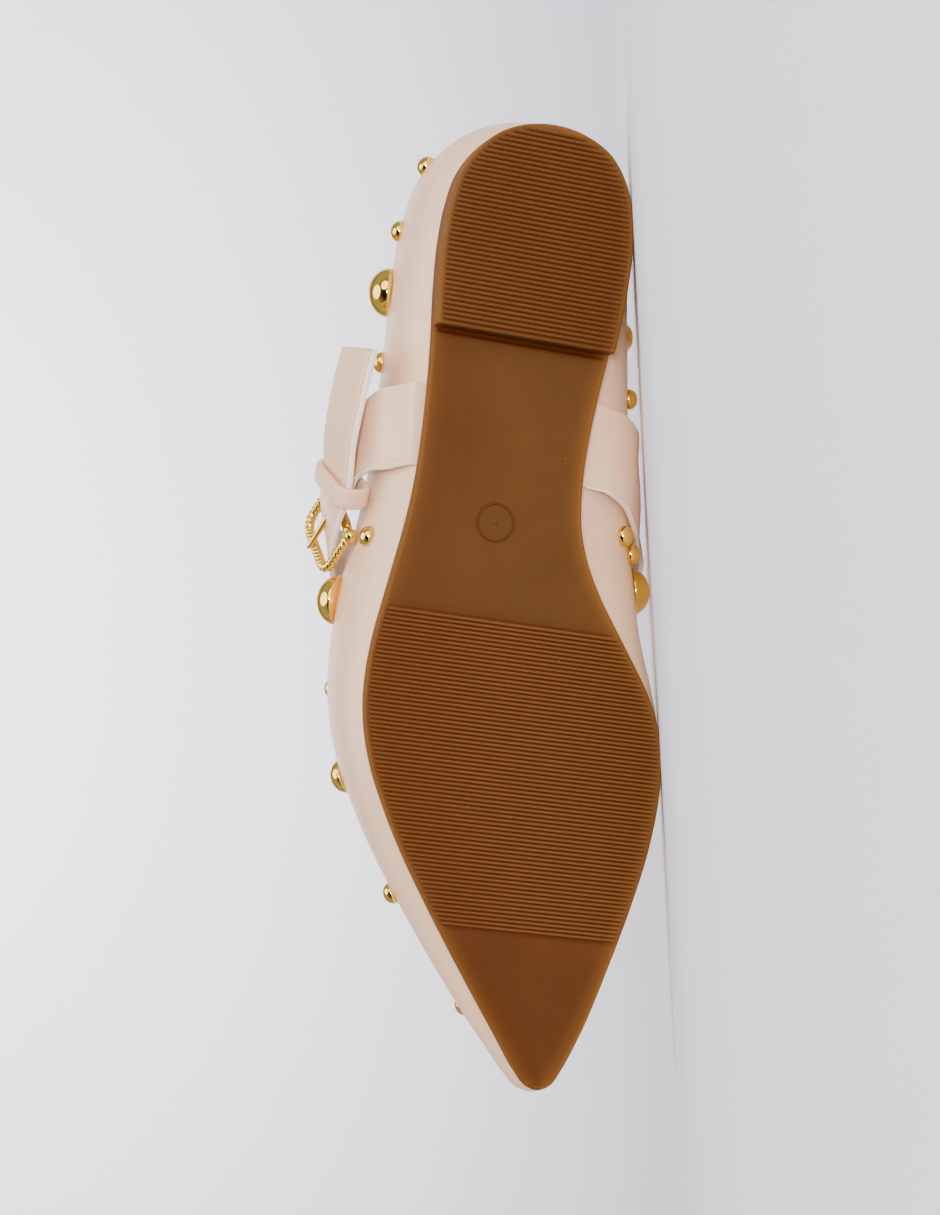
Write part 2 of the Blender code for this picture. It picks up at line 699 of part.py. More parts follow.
def solid_shapes():
    """Corners and triangles of every object in the scene."""
    graph = bpy.context.evaluated_depsgraph_get()
    shapes = []
    for item in bpy.context.scene.objects:
        solid = item.evaluated_get(graph)
        mesh = solid.to_mesh()
        mesh.transform(solid.matrix_world)
        mesh.calc_loop_triangles()
        corners = np.array([vert.co for vert in mesh.vertices])
        triangles = np.array([triangle.vertices for triangle in mesh.loop_triangles])
        shapes.append((corners, triangles))
        solid.to_mesh_clear()
    return shapes


def centre_of_mass(shapes):
    """Centre of all the solids at one density."""
    volume = 0.0
    moment = np.zeros(3)
    for corners, triangles in shapes:
        a, b, c = (corners[triangles[:, i]] for i in range(3))
        wedges = np.sum(a * np.cross(b, c), axis=1) / 6.0
        volume += wedges.sum()
        moment += np.sum((a + b + c) / 4.0 * wedges[:, None], axis=0)
    return moment / volume


def floor_direction(shapes):
    """Direction to the floor once the shoe has rolled to rest on its side."""
    hull = bmesh.new()
    for corners, _ in shapes:
        for corner in corners:
            hull.verts.new(corner)
    bmesh.ops.convex_hull(hull, input=hull.verts)
    tree = BVHTree.FromBMesh(hull)
    hull.free()
    centre = Vector(centre_of_mass(shapes))
    down = Vector(SIDE_DOWN)
    for _ in range(SETTLE_STEPS):
        _, facing, _, _ = tree.ray_cast(centre, down)
        down = facing if facing.dot(down) > 0 else -facing
    return down


def lay_down():
    """Lay the shoe on its side, toe along +X, with the middle of its box over the origin."""
    shapes = solid_shapes()
    lowered = floor_direction(shapes).rotation_difference(Vector((0, 0, -1))).to_matrix()
    toe = lowered @ Vector((1, 0, 0))
    turn = Matrix.Rotation(-math.atan2(toe.y, toe.x), 3, "Z") @ lowered
    corners = np.concatenate([corners for corners, _ in shapes]) @ np.array(turn).T
    low = corners.min(axis=0)
    high = corners.max(axis=0)
    shift = Matrix.Translation((-(low[0] + high[0]) / 2, -(low[1] + high[1]) / 2, -low[2]))
    for item in bpy.context.scene.objects:
        item.matrix_world = shift @ turn.to_4x4() @ item.matrix_world


def main():
    for item in list(bpy.data.objects):
        bpy.data.objects.remove(item, do_unlink=True)
    make_outsole()
    make_insole()
    upper_tree = make_upper()
    strap = Band(STRAP_ROUTE)
    anchor = Band(ANCHOR_ROUTE)
    make_band("strap", strap, STRAP_STEPS, upper_tree)
    make_band("strap_anchor", anchor, ANCHOR_STEPS, upper_tree)
    make_keeper(strap)
    make_buckle(strap)
    make_studs(upper_tree)
    lay_down()


LAST = Last()
main()
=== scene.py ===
"""Looks of a pointed ballet flat for the left foot, lying on its inner side.

Every piece is modelled in the shoe's own millimetre frame, as its solids are: x runs from heel to toe,
y to the outer side and z up from the tread. One matrix, read from the two tread mounts, lays it down.
"""
import json
import math
from collections import namedtuple

import bmesh
import bpy
import numpy as np
from mathutils import Matrix, Vector
from mathutils.bvhtree import BVHTree


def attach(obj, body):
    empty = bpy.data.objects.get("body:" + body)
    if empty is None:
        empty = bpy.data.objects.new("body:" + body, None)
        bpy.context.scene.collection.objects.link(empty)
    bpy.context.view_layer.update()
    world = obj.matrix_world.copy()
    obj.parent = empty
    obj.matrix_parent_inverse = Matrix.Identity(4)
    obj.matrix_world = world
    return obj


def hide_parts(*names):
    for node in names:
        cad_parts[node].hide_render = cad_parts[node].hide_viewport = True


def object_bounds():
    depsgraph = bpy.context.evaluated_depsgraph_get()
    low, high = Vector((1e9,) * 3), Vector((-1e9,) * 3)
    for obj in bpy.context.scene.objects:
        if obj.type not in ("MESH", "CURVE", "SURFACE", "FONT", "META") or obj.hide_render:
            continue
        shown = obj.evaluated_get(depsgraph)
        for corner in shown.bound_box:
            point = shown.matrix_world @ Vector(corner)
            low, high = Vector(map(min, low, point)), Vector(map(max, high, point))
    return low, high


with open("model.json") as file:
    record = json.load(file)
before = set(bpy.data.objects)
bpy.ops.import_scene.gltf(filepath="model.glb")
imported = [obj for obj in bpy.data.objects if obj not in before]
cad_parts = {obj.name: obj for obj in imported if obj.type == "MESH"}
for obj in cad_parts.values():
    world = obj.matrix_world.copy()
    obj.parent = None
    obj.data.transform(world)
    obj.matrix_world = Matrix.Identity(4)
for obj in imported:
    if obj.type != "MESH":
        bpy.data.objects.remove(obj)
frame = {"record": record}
CAD_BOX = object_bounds()

# Driving sizes in millimetres
SOLE_LENGTH = 256.0
BALL_WIDTH = 80.0
HEEL_SEAT = 9.0
BACK_HEIGHT = 57.0
TOE_SPRING = 6.5
FOREFOOT_THICKNESS = 3.3
ARCH_RISE = 5.0
WALL = 2.4
STRAP_THICKNESS = 2.0
GAP = 0.3

# A millimetre in metres, turns, and how fast the toe spring steepens
MM = 0.001
FULL_TURN = 2 * math.pi
QUARTER_TURN = math.pi / 2
TOE_SPRING_POWER = 1.8

# Places along the sole, as shares of its length
HEEL_BREAST = 0.223
SEAT_FRONT = 0.15
BALL_BACK = 0.51
SHANK_FRONT = 0.58
TOE_START = 0.75

# Slant of the sole's cross lines, and distance in mm of the heel's tread mount from the back
CROSS_SKEW = math.radians(8.0)
HEEL_TREAD_X = 30.0

# Lower edge of the upper inside the sole's edge, and the shape of its sections as shares
FEATHER_INSET = 0.6
TUCK = 0.3
REACH = 0.38
WIDE_SHARE = 0.42

# Insole inside the upper: its inset, its round edge and how far its cover runs out to the wall
INSOLE_INSET = 2.2
INSOLE_TAPER = 15.0
INSOLE_TIP = 0.8
INSOLE_THICKNESS = 2.4
INSOLE_SEAM = 0.03
INSOLE_SIDE_POWER = 0.5
INSOLE_FACE_POWER = 0.22
COVER_RISE = 0.28
COVER_LAP = 0.5
COVER_MOST = 1.7

# Outline of the sole: along in % of its length, outer and inner half widths in % of the ball width
Outline = namedtuple("Outline", "along outer inner")
OUTLINE = [
    Outline(0.0, 0.0, 0.0),
    Outline(1.1, 14.4, 15.9),
    Outline(2.9, 21.6, 24.0),
    Outline(5.2, 27.0, 28.6),
    Outline(8.2, 30.5, 31.3),
    Outline(12.0, 33.0, 31.7),
    Outline(17.0, 34.6, 29.7),
    Outline(22.3, 35.6, 26.1),
    Outline(27.5, 37.2, 21.6),
    Outline(32.8, 39.5, 17.4),
    Outline(38.1, 42.8, 14.6),
    Outline(41.6, 45.8, 14.2),
    Outline(45.1, 49.3, 16.1),
    Outline(48.6, 52.8, 20.2),
    Outline(52.1, 56.2, 25.9),
    Outline(55.7, 58.7, 32.0),
    Outline(59.2, 59.8, 37.4),
    Outline(62.7, 59.2, 40.8),
    Outline(66.2, 57.0, 41.8),
    Outline(69.7, 53.4, 40.8),
    Outline(75.0, 46.6, 37.2),
    Outline(80.3, 38.3, 31.8),
    Outline(87.3, 26.4, 23.6),
    Outline(94.3, 13.7, 14.7),
    Outline(98.0, 6.8, 8.7),
    Outline(99.5, 3.0, 5.4),
    Outline(100.0, -1.0, 1.0),
]

# The upper at each station of the sole: how far its widest line stands outside the sole edge and above
# the feather edge, and the topline point that the section runs up to. Along and top_along are in % of the
# sole length, top_height in % of the back height, rise in % of the run, lean in degrees, the rest in mm.
Section = namedtuple(
    "Section",
    "along outer_bulge inner_bulge wide_height top_along top_outer top_inner top_height rise lean",
)
SECTIONS = [
    Section(0.0, 4.6, 4.6, 20.0, 1.2, 0.0, 0.0, 100.0, 38, 12),
    Section(2.9, 4.8, 4.9, 20.0, 3.0, 14.0, 14.5, 99.2, 38, 12),
    Section(8.2, 5.2, 5.4, 20.5, 8.0, 22.0, 22.2, 96.0, 38, 13),
    Section(17.0, 6.2, 8.0, 21.5, 16.8, 26.3, 25.4, 88.0, 38, 16),
    Section(27.5, 7.4, 15.8, 22.5, 27.2, 28.4, 26.4, 79.5, 38, 20),
    Section(38.1, 7.2, 22.4, 23.5, 37.8, 31.0, 27.2, 74.5, 38, 24),
    Section(48.6, 6.6, 18.4, 23.5, 47.6, 32.6, 28.0, 72.2, 36, 30),
    Section(55.7, 5.4, 9.4, 20.5, 54.0, 31.2, 27.2, 71.0, 33, 39),
    Section(62.7, 5.0, 4.2, 16.5, 60.2, 26.4, 23.8, 70.8, 29, 50),
    Section(69.7, 4.8, 3.4, 13.5, 64.8, 18.6, 17.6, 71.8, 24, 60),
    Section(80.3, 4.4, 3.3, 10.0, 67.5, 9.4, 9.4, 73.4, 17, 66),
    Section(91.0, 3.4, 2.7, 7.0, 68.2, 3.6, 4.0, 74.2, 11, 69),
    Section(100.0, 1.6, 1.6, 4.4, 68.4, -0.3, 0.3, 74.4, 6, 70),
]

# The back seam, in the first row, and soft creases: station and height in %, reach along
# the loop in mm and up the wall in %, depth in mm (a ridge is below zero), slant in mm for the whole height
Crease = namedtuple("Crease", "side along height reach rise depth slant")
CREASES = [
    Crease("outer", 0.0, 55, 0.7, 60, 0.35, 0),
    Crease("inner", 31.0, 34, 5.0, 30, 0.70, 20),
    Crease("inner", 47.0, 40, 7.0, 26, 0.60, -26),
    Crease("inner", 55.0, 66, 3.0, 20, 0.55, -18),
    Crease("inner", 58.4, 72, 2.6, 18, -0.30, -16),
    Crease("inner", 61.6, 76, 2.6, 18, 0.50, -14),
    Crease("outer", 33.0, 30, 6.0, 26, 0.60, -16),
    Crease("outer", 53.0, 66, 3.2, 20, 0.55, 18),
    Crease("outer", 56.4, 70, 2.8, 18, -0.30, 17),
    Crease("outer", 60.0, 74, 2.8, 18, 0.50, 16),
    Crease("inner", 91.0, 12, 2.0, 14, 0.22, 4),
    Crease("inner", 94.0, 12, 1.8, 13, 0.24, 4),
    Crease("inner", 96.6, 12, 1.6, 12, 0.22, 3),
    Crease("outer", 91.4, 12, 2.0, 14, 0.22, -4),
    Crease("outer", 94.6, 12, 1.8, 13, 0.24, -4),
    Crease("outer", 97.0, 12, 1.6, 12, 0.22, -3),
]

# Routes of the straps, inner face, from the sole upwards: places and width in mm
Route = namedtuple("Route", "x y z width")
STRAP_ROUTE = [
    Route(83.0, -15.2, 7.4, 23.0),
    Route(86.0, -22.6, 10.4, 23.6),
    Route(89.5, -28.4, 15.0, 24.6),
    Route(93.5, -31.6, 21.5, 26.0),
    Route(98.5, -34.4, 31.0, 27.6),
    Route(105.5, -37.6, 44.0, 29.0),
    Route(114.0, -28.6, 59.0, 29.0),
    Route(119.5, -6.0, 67.0, 28.0),
    Route(121.5, 15.0, 64.5, 26.0),
    Route(119.5, 33.5, 57.0, 23.0),
    Route(115.0, 43.4, 48.0, 20.0),
    Route(109.0, 48.0, 39.5, 18.0),
    Route(101.0, 49.4, 32.0, 17.0),
    Route(94.0, 48.5, 27.2, 17.0),
    Route(83.0, 48.4, 24.0, 17.0),
    Route(71.0, 46.6, 22.0, 17.0),
    Route(58.5, 43.6, 21.0, 16.0),
]
ANCHOR_ROUTE = [
    Route(78.6, 31.8, 7.2, 22.5),
    Route(79.2, 35.6, 10.5, 22.0),
    Route(80.8, 39.3, 15.0, 21.0),
    Route(84.4, 43.0, 21.8, 16.0),
    Route(89.6, 45.6, 26.8, 13.0),
    Route(95.6, 46.4, 29.2, 13.0),
]

# How the straps lie on the upper, tuck in over the sole and end in turned edges, pale at the cut from edge
# paint and a painted highlight
BAND_ROOT = 8.0
BAND_CLEARANCE = 0.6
BAND_LEAST = 0.2
BAND_REACH = 5.0
BAND_TUCK = 1.6
BAND_BLUR = 40
FOOT_AXIS_Y = 3.0
FOOT_AXIS_Z = 36.0
TURNED_EDGE = 1.5
TURNED_DEPTH = 0.22
TURNED_WIDTH = 0.35
EDGE_PAINT_AND_HIGHLIGHT = 0.5
EDGE_POWER = 7.0

# Rows of the strap's route that lie in the keeper and over the buckle's bar
KEEPER_ROW = 13
BAR_ROW = 12

# Keeper round the strap and its anchor
KEEPER_LENGTH = 5.6
KEEPER_THICKNESS = 1.9
KEEPER_CLEARANCE = 0.8
KEEPER_CORNER = 3.0
KEEPER_EDGE_POWER = 0.45

# Buckle's frame, its lift off the strap in degrees, and the rope pattern on its wire
BUCKLE_LENGTH = 14.0
BUCKLE_WIDTH = 22.0
BUCKLE_WIRE = 1.4
BUCKLE_CORNER = 4.0
BUCKLE_LIFT = 22.0
ROPE_PITCH = 1.5
ROPE_DEPTH = 0.24
ROPE_POWER = 0.7

# Ball at each end of the buckle's bar, as shares of the wire's radius
BALL_PLACE = 0.4
BALL_SIZE = 1.35

# Prong: radius in mm, its root and its taper as shares of that, and how blunt its ends are
PRONG_WIRE = 0.9
PRONG_ROOT = 1.15
PRONG_TAPER = 0.45
PRONG_END_POWER = 12

# Dome studs: diameters, height as a share of the diameter, and how far a foot runs down under the dome
STUD_SIZES = {"large": 13.6, "medium": 9.4, "small": 5.8}
STUD_HEIGHT = 0.42
STUD_SINK = 0.9

# Place of each stud: the sole station that its section starts from, in % of the sole length, and the
# height along that section in %
Stud = namedtuple("Stud", "size side along height")
STUDS = [
    Stud("small", "inner", 1.6, 44),
    Stud("small", "inner", 4.6, 44),
    Stud("small", "inner", 10.0, 43),
    Stud("small", "inner", 12.8, 48),
    Stud("large", "inner", 16.6, 68),
    Stud("medium", "inner", 19.6, 47),
    Stud("small", "inner", 26.0, 30),
    Stud("medium", "inner", 26.0, 60),
    Stud("small", "inner", 43.2, 20),
    Stud("small", "inner", 46.4, 28),
    Stud("large", "inner", 51.0, 45),
    Stud("small", "inner", 56.4, 52),
    Stud("small", "inner", 60.4, 52),
    Stud("small", "inner", 63.8, 50),
    Stud("medium", "inner", 70.4, 55),
    Stud("small", "inner", 78.2, 48),
    Stud("small", "outer", 4.0, 46),
    Stud("small", "outer", 10.2, 46),
    Stud("large", "outer", 16.4, 54),
    Stud("small", "outer", 24.0, 46),
    Stud("small", "outer", 43.0, 24),
    Stud("large", "outer", 49.8, 52),
    Stud("small", "outer", 58.6, 58),
    Stud("medium", "outer", 67.0, 54),
    Stud("small", "outer", 78.6, 46),
    Stud("medium", "outer", 57.6, 80),
    Stud("small", "outer", 64.0, 76),
    Stud("large", "outer", 73.4, 72),
    Stud("small", "outer", 80.6, 62),
    Stud("medium", "outer", 86.4, 70),
    Stud("small", "outer", 92.0, 52),
    Stud("large", "outer", 93.2, 86),
    Stud("small", "inner", 58.6, 78),
    Stud("medium", "inner", 66.6, 76),
    Stud("small", "inner", 74.0, 68),
    Stud("large", "inner", 82.4, 68),
    Stud("small", "inner", 88.6, 84),
    Stud("medium", "inner", 92.0, 60),
    Stud("small", "inner", 97.4, 66),
]

# Ribs of the tread: first and last cross line from the heel, pitch and depth, all in mm
RibZone = namedtuple("RibZone", "first last pitch")
HEEL_RIBS = RibZone(1.5, 56.2, 1.3)
FOREFOOT_RIBS = RibZone(132.7, 214.0, 1.145)
RIB_DEPTH = 0.5

# Plain parts of the tread: its border, where the waist's rows start in front of the breast and the toe's
# in front of the ribs, in mm, and how far the first groove lies behind the ribs as a share of the pitch
BORDER = 1.6
WAIST_START = 6.0
PLAIN_TOE_GAP = 1.0
FIRST_GROOVE = 0.4

# Tones of the rubber, as shares: the toe, the heel's ribs' painted highlight, the amber edges and the outer
# half's painted shade
TOE_SHADE = 0.42
HEEL_CREST_HIGHLIGHT = 0.35
RIB_AMBER = 0.45
WALL_AMBER = 0.6
OUTER_AMBER = 0.45
OUTER_SHADE = 0.3
OUTER_HALF = 0.5

# One rib as shares of the pitch and of the depth
RibStep = namedtuple("RibStep", "along depth")
RIB_STEPS = [RibStep(0.0, 0.0), RibStep(0.44, 0.0), RibStep(0.60, 1.0), RibStep(0.84, 1.0)]

# Round lip of the heel breast and the moulded groove at its foot: distance in front of the breast line,
# height over the tread, depth as a share of a rib's and shade
BreastRow = namedtuple("BreastRow", "along lift groove shade")
BREAST_LIP = [
    BreastRow(-0.8, 0.0, 0.0, 0.0),
    BreastRow(-0.4, 0.05, 0.0, 0.0),
    BreastRow(-0.12, 0.22, 0.0, 0.2),
    BreastRow(0.0, 0.6, 0.0, 0.4),
]
# The shade of these rows, and of the lip's lower rows, is a painted shadow on and under the heel breast
BREAST_FOOT = [
    BreastRow(0.0, -0.5, 0.0, 0.5),
    BreastRow(0.12, -0.12, 2.4, 1.0),
    BreastRow(0.7, 0.0, 2.4, 1.0),
    BreastRow(1.2, 0.0, 1.4, 1.0),
    BreastRow(1.5, 0.0, 0.3, 1.0),
    BreastRow(1.9, 0.0, 0.0, 0.5),
    BreastRow(2.6, 0.0, 0.0, 0.1),
    BreastRow(3.6, 0.0, 0.0, 0.0),
]

# Tread of the sole from its edge inwards: inset in mm, share of the ribs that reaches there and how far the
# edge's amber shows
TREAD_CORE = 5.0
TreadStep = namedtuple("TreadStep", "inset ribs amber")
TREAD = [
    TreadStep(0.6, 0.0, 0.9),
    TreadStep(1.0, 0.0, 0.7),
    TreadStep(BORDER, 1.0, 0.4),
    TreadStep(3.4, 1.0, 0.16),
    TreadStep(TREAD_CORE, 1.0, 0.04),
]

# Columns across the tread's middle and across the seat, as shares of the way between the sides
TREAD_SHARES = (0.2, 0.4, 0.6, 0.8)
SEAT_SHARES = (1.0, 0.5, 0.0)

# Wall of the sole from the tread up to the seat: inset in mm, and rise in mm over the level that it is near
WallStep = namedtuple("WallStep", "inset level rise")
SOLE_WALL = [
    WallStep(0.2, "under", 0.14),
    WallStep(0.03, "under", 0.42),
    WallStep(0.0, "under", 0.8),
    WallStep(0.0, "top", -0.5),
    WallStep(0.5, "top", 0.0),
]

# One cross line of the sole: station, whether it is on the heel block, its lift, its groove and its shade
SoleRow = namedtuple("SoleRow", "station on_heel lift groove shade")

# Loop round the sole's section: inset in mm, share of the way from outer to inner, level and rise in mm,
# share of the ribs that reaches there and how far the edge's amber shows
Loop = namedtuple("Loop", "inset share level rise ribs amber")

# Round ring moulded in the waist, the painted shade on it, and the pip in its middle
RING_X = 104.8
RING_Y = 12.5
RING_RADIUS = 4.9
RING_WIRE = 0.36
RING_SHADE = 0.5
PIP_RADIUS = 0.9
PIP_FLATNESS = 0.4

# Topline binding and its row of stitches
BEAD_OUT = 1.5
BEAD_UP = 1.15
STITCH_STEP = 2.7
STITCH_LENGTH = 2.0
STITCH_WIRE = 0.28
STITCH_DROP = 3.2

# Fineness of the facets, as numbers of steps
LOOP_STEPS = 420
WALL_STEPS = 46
BEAD_SIDES = 12
BAND_COLUMNS = 44
STRAP_STEPS = 220
ANCHOR_STEPS = 60
SECTION_STEPS = 24
CORNER_STEPS = 8
RING_SIDES = 48
WIRE_SIDES = 16
PIP_RINGS = 8
ROPE_STEPS = 480
BALL_SIDES = 20
BALL_RINGS = 12
STUD_SIDES = 32
STUD_RINGS = 22
STITCH_SIDES = 6
STITCH_RINGS = 5
INSOLE_ROWS = 30
INSOLE_SIDES = 40
WAIST_ROWS = 30
END_ROWS = 16

# Points round the sole's edge, and the distance in mm within which points are merged
OUTLINE_SAMPLES = 3201
WELD = 0.0005

# Small steps that directions are taken over: in plan and round the loop in mm, the others as shares
PLAN_STEP = 0.2
LOOP_STEP = 1.0
HEIGHT_STEP = 0.01
ROUTE_STEP = 0.002
TOPLINE_STEP = 0.04

# Camera: distance from the tread, height over the floor, station of the sole that it faces, nearest
# distance and sensor, all in mm, and share of the frame that the shoe fills
CAMERA_DISTANCE = 620.0
CAMERA_HEIGHT = 12.0
CAMERA_STATION = 122.0
CAMERA_CLIP = 10.0
SENSOR_HEIGHT = 36.0
FRAME_FILL = 0.82

# Paper sweep behind the shoe, in metres
SWEEP_HALF_WIDTH = 4.0
SWEEP_FRONT = 3.0
SWEEP_BACK = -0.6
SWEEP_BEND = 1.1
SWEEP_COLUMNS = 8
SWEEP_STEPS = 16

# Soft lights: places and sizes in metres, spread in degrees, power in watts
Light = namedtuple("Light", "name place target size spread power")
LIGHTS = [
    Light("front_softbox", (-1.1, 1.5, 0.6), (0.0, 0.0, 0.0), 1.4, 180, 18.0),
    Light("low_softbox", (-0.15, 1.35, 0.1), (0.0, 0.0, 0.02), 0.24, 180, 16.0),
    Light("top_softbox", (-0.3, 0.6, 1.7), (0.0, 0.2, 0.0), 1.6, 180, 26.0),
    Light("backdrop_softbox", (0.0, -0.3, 2.0), (0.0, -1.7, 1.0), 1.2, 80, 26.0),
]

# Sockets of a Mix node that works on colours, by number because their names repeat
MIX_SHARE = 0
MIX_FIRST = 6
MIX_SECOND = 7
MIX_COLOUR = 2


def ease(share):
    """Smooth step from 0 to 1."""
    share = np.clip(share, 0.0, 1.0)
    return share * share * (3.0 - 2.0 * share)


def toe_spring(x):
    """Rise of the sole in front of the tread."""
    start = TOE_START * SOLE_LENGTH
    return TOE_SPRING * np.clip((x - start) / (SOLE_LENGTH - start), 0.0, None) ** TOE_SPRING_POWER


def tread_height(x):
    """Underside of the sole in front of the heel breast."""
    breast = HEEL_BREAST * SOLE_LENGTH
    ball = BALL_BACK * SOLE_LENGTH
    return ARCH_RISE * ease((ball - x) / (ball - breast)) + toe_spring(x)


def seat_height(x):
    """Top of the sole, which carries the upper and the insole."""
    back = SEAT_FRONT * SOLE_LENGTH
    front = SHANK_FRONT * SOLE_LENGTH
    lift = (HEEL_SEAT - FOREFOOT_THICKNESS) * ease((front - x) / (front - back))
    return FOREFOOT_THICKNESS + lift + toe_spring(x)


def closed_spline(keys, values, period, at):
    """Smooth closed curve through values at rising keys, read at any keys."""
    gaps = np.diff(np.append(keys, keys[0] + period))[:, None]
    slopes = (np.roll(values, -1, 0) - values) / gaps
    before = np.roll(gaps, 1, 0)
    tangents = (slopes * before + np.roll(slopes, 1, 0) * gaps) / (gaps + before)
    at = np.mod(at, period)
    i = np.clip(np.searchsorted(keys, at, side="right") - 1, 0, len(keys) - 1)
    j = (i + 1) % len(keys)
    gap = gaps[i]
    t = (at[:, None] - keys[i][:, None]) / gap
    return (
        values[i] * (1 + 2 * t) * (1 - t) ** 2
        + tangents[i] * gap * t * (1 - t) ** 2
        + values[j] * t * t * (3 - 2 * t)
        + tangents[j] * gap * t * t * (t - 1)
    )


def open_spline(points, at):
    """Smooth curve through points, read at shares from 0 to 1 of its length."""
    points = np.asarray(points, float)
    steps = np.linalg.norm(np.diff(points[:, :3], axis=0), axis=1)
    keys = np.append(0.0, np.cumsum(steps))
    tangents = np.gradient(points, keys, axis=0, edge_order=2)
    at = np.asarray(at) * keys[-1]
    i = np.clip(np.searchsorted(keys, at, side="right") - 1, 0, len(keys) - 2)
    gap = (keys[i + 1] - keys[i])[:, None]
    t = (at - keys[i])[:, None] / gap
    return (
        points[i] * (1 + 2 * t) * (1 - t) ** 2
        + tangents[i] * gap * t * (1 - t) ** 2
        + points[i + 1] * t * t * (3 - 2 * t)
        + tangents[i + 1] * gap * t * t * (t - 1)
    )


def unit(vectors):
    """Vectors at length 1."""
    return vectors / np.linalg.norm(vectors, axis=-1, keepdims=True)


class Last:
    """The closed loop round the sole, from the heel by the outer side to the toe and back."""

    def __init__(self):
        self.half = len(OUTLINE) - 1
        outer = [(row.along * SOLE_LENGTH, row.outer * BALL_WIDTH) for row in OUTLINE]
        inner = [(row.along * SOLE_LENGTH, -row.inner * BALL_WIDTH) for row in OUTLINE]
        self.knots = np.array(outer + inner[-2:0:-1]) / 100.0
        steps = np.linalg.norm(np.roll(self.knots, -1, 0) - self.knots, axis=1)
        self.keys = np.append(0.0, np.cumsum(steps[:-1]))
        self.period = steps.sum()
        top = [self.section_row(row, 1) for row in SECTIONS]
        top += [self.section_row(row, -1) for row in SECTIONS[-2:0:-1]]
        top = np.array(top)
        self.section_keys = top[:, 0]
        self.section_values = top[:, 1:]

    def key(self, along, side):
        """Distance round the loop of a sole station, given in % of the sole length."""
        x = along / 100.0 * SOLE_LENGTH
        if side > 0:
            return np.interp(x, self.knots[: self.half + 1, 0], self.keys[: self.half + 1])
        inner_x = np.append(self.knots[self.half:, 0], 0.0)
        inner_keys = np.append(self.keys[self.half:], self.period)
        return np.interp(-x, -inner_x, inner_keys)

    def section_row(self, row, side):
        """A section's loop distance, widest line, topline point and shape."""
        bulge = row.outer_bulge if side > 0 else row.inner_bulge
        top_half = row.top_outer if side > 0 else -row.top_inner
        return (
            self.key(row.along, side),
            bulge,
            row.wide_height,
            row.top_along / 100.0 * SOLE_LENGTH,
            top_half,
            row.top_height / 100.0 * BACK_HEIGHT,
            row.rise / 100.0,
            math.radians(row.lean),
        )

    def outline(self, keys):
        """Points on the sole's edge and outward directions, both in plan."""
        points = closed_spline(self.keys, self.knots, self.period, keys)
        ahead = closed_spline(self.keys, self.knots, self.period, keys + PLAN_STEP)
        behind = closed_spline(self.keys, self.knots, self.period, keys - PLAN_STEP)
        run = ahead - behind
        return points, unit(np.stack([-run[:, 1], run[:, 0]], axis=1))

    def ring_keys(self, count):
        """Loop distances that are closer together round the heel and the toe."""
        knot_count = len(self.keys)
        rows = np.arange(knot_count + 1)
        return np.interp(np.arange(count) * knot_count / count, rows, np.append(self.keys, self.period))

    def upper(self, keys, heights):
        """Outer face of the upper: heights run from 0 at the sole to 1 at the topline."""
        edge, out = self.outline(keys)
        values = closed_spline(self.section_keys, self.section_values, self.period, keys)
        bulge, wide_height, top_x, top_y, top_z, rise, lean = values.T
        up = np.array([0.0, 0.0, 1.0])
        feather_z = seat_height(edge[:, 0]) + GAP
        feather = np.column_stack([edge - FEATHER_INSET * out, feather_z])
        wide = np.column_stack([edge + bulge[:, None] * out, feather_z + wide_height])
        tuck = np.column_stack([wide[:, :2], feather_z + TUCK * wide_height])
        top = np.column_stack([top_x, top_y, top_z])
        inward = unit(top[:, :2] - wide[:, :2])
        run = np.linalg.norm(top - wide, axis=1)[:, None]
        heading = np.column_stack([inward * np.sin(lean)[:, None], np.cos(lean)])
        shoulder = wide + up * run * rise[:, None]
        brow = top - heading * run * REACH
        low = np.clip(heights / WIDE_SHARE, 0.0, 1.0)[:, None]
        high = np.clip((heights - WIDE_SHARE) / (1.0 - WIDE_SHARE), 0.0, 1.0)[:, None]
        under = feather * (1 - low) ** 2 + tuck * 2 * low * (1 - low) + wide * low**2
        over = (
            wide * (1 - high) ** 3
            + shoulder * 3 * high * (1 - high) ** 2
            + brow * 3 * high**2 * (1 - high)
            + top * high**3
        )
        return np.where(low < 1.0, under, over)

    def upper_frame(self, keys, heights):
        """Points of the upper, their outward directions and the direction round the loop."""
        keys, heights = np.broadcast_arrays(np.asarray(keys, float), np.asarray(heights, float))
        round_loop = self.upper(keys + LOOP_STEP, heights) - self.upper(keys - LOOP_STEP, heights)
        here = self.upper(keys, heights)
        above = np.where((heights >= 1.0)[:, None], here, self.upper(keys, heights + HEIGHT_STEP))
        below = np.where((heights <= 0.0)[:, None], here, self.upper(keys, heights - HEIGHT_STEP))
        return here, unit(np.cross(above - below, round_loop)), unit(round_loop)


LAST = Last()
SIDES = {"outer": 1, "inner": -1}


def shoe_matrix():
    """Turn from the shoe's millimetres to the laid-down shoe in metres, from the tread mounts."""
    mounts = {mount["name"]: mount for mount in frame["record"]["mounts"]}
    heel = Vector(mounts["heel_tread"]["pos_m"])
    ball = Vector(mounts["forefoot_tread"]["pos_m"])
    x_axis = (ball - heel).normalized()
    z_axis = -Vector(mounts["heel_tread"]["axis"]).normalized()
    y_axis = z_axis.cross(x_axis)
    turn = Matrix((x_axis, y_axis, z_axis)).transposed().to_4x4()
    return Matrix.Translation(heel - x_axis * HEEL_TREAD_X * MM) @ turn @ Matrix.Scale(MM, 4)


SHOE = shoe_matrix()


def linear(hex_colour):
    """sRGB hex as linear RGBA."""
    channels = [int(hex_colour[i:i + 2], 16) / 255.0 for i in (1, 3, 5)]
    return (*[c / 12.92 if c <= 0.04045 else ((c + 0.055) / 1.055) ** 2.4 for c in channels], 1.0)


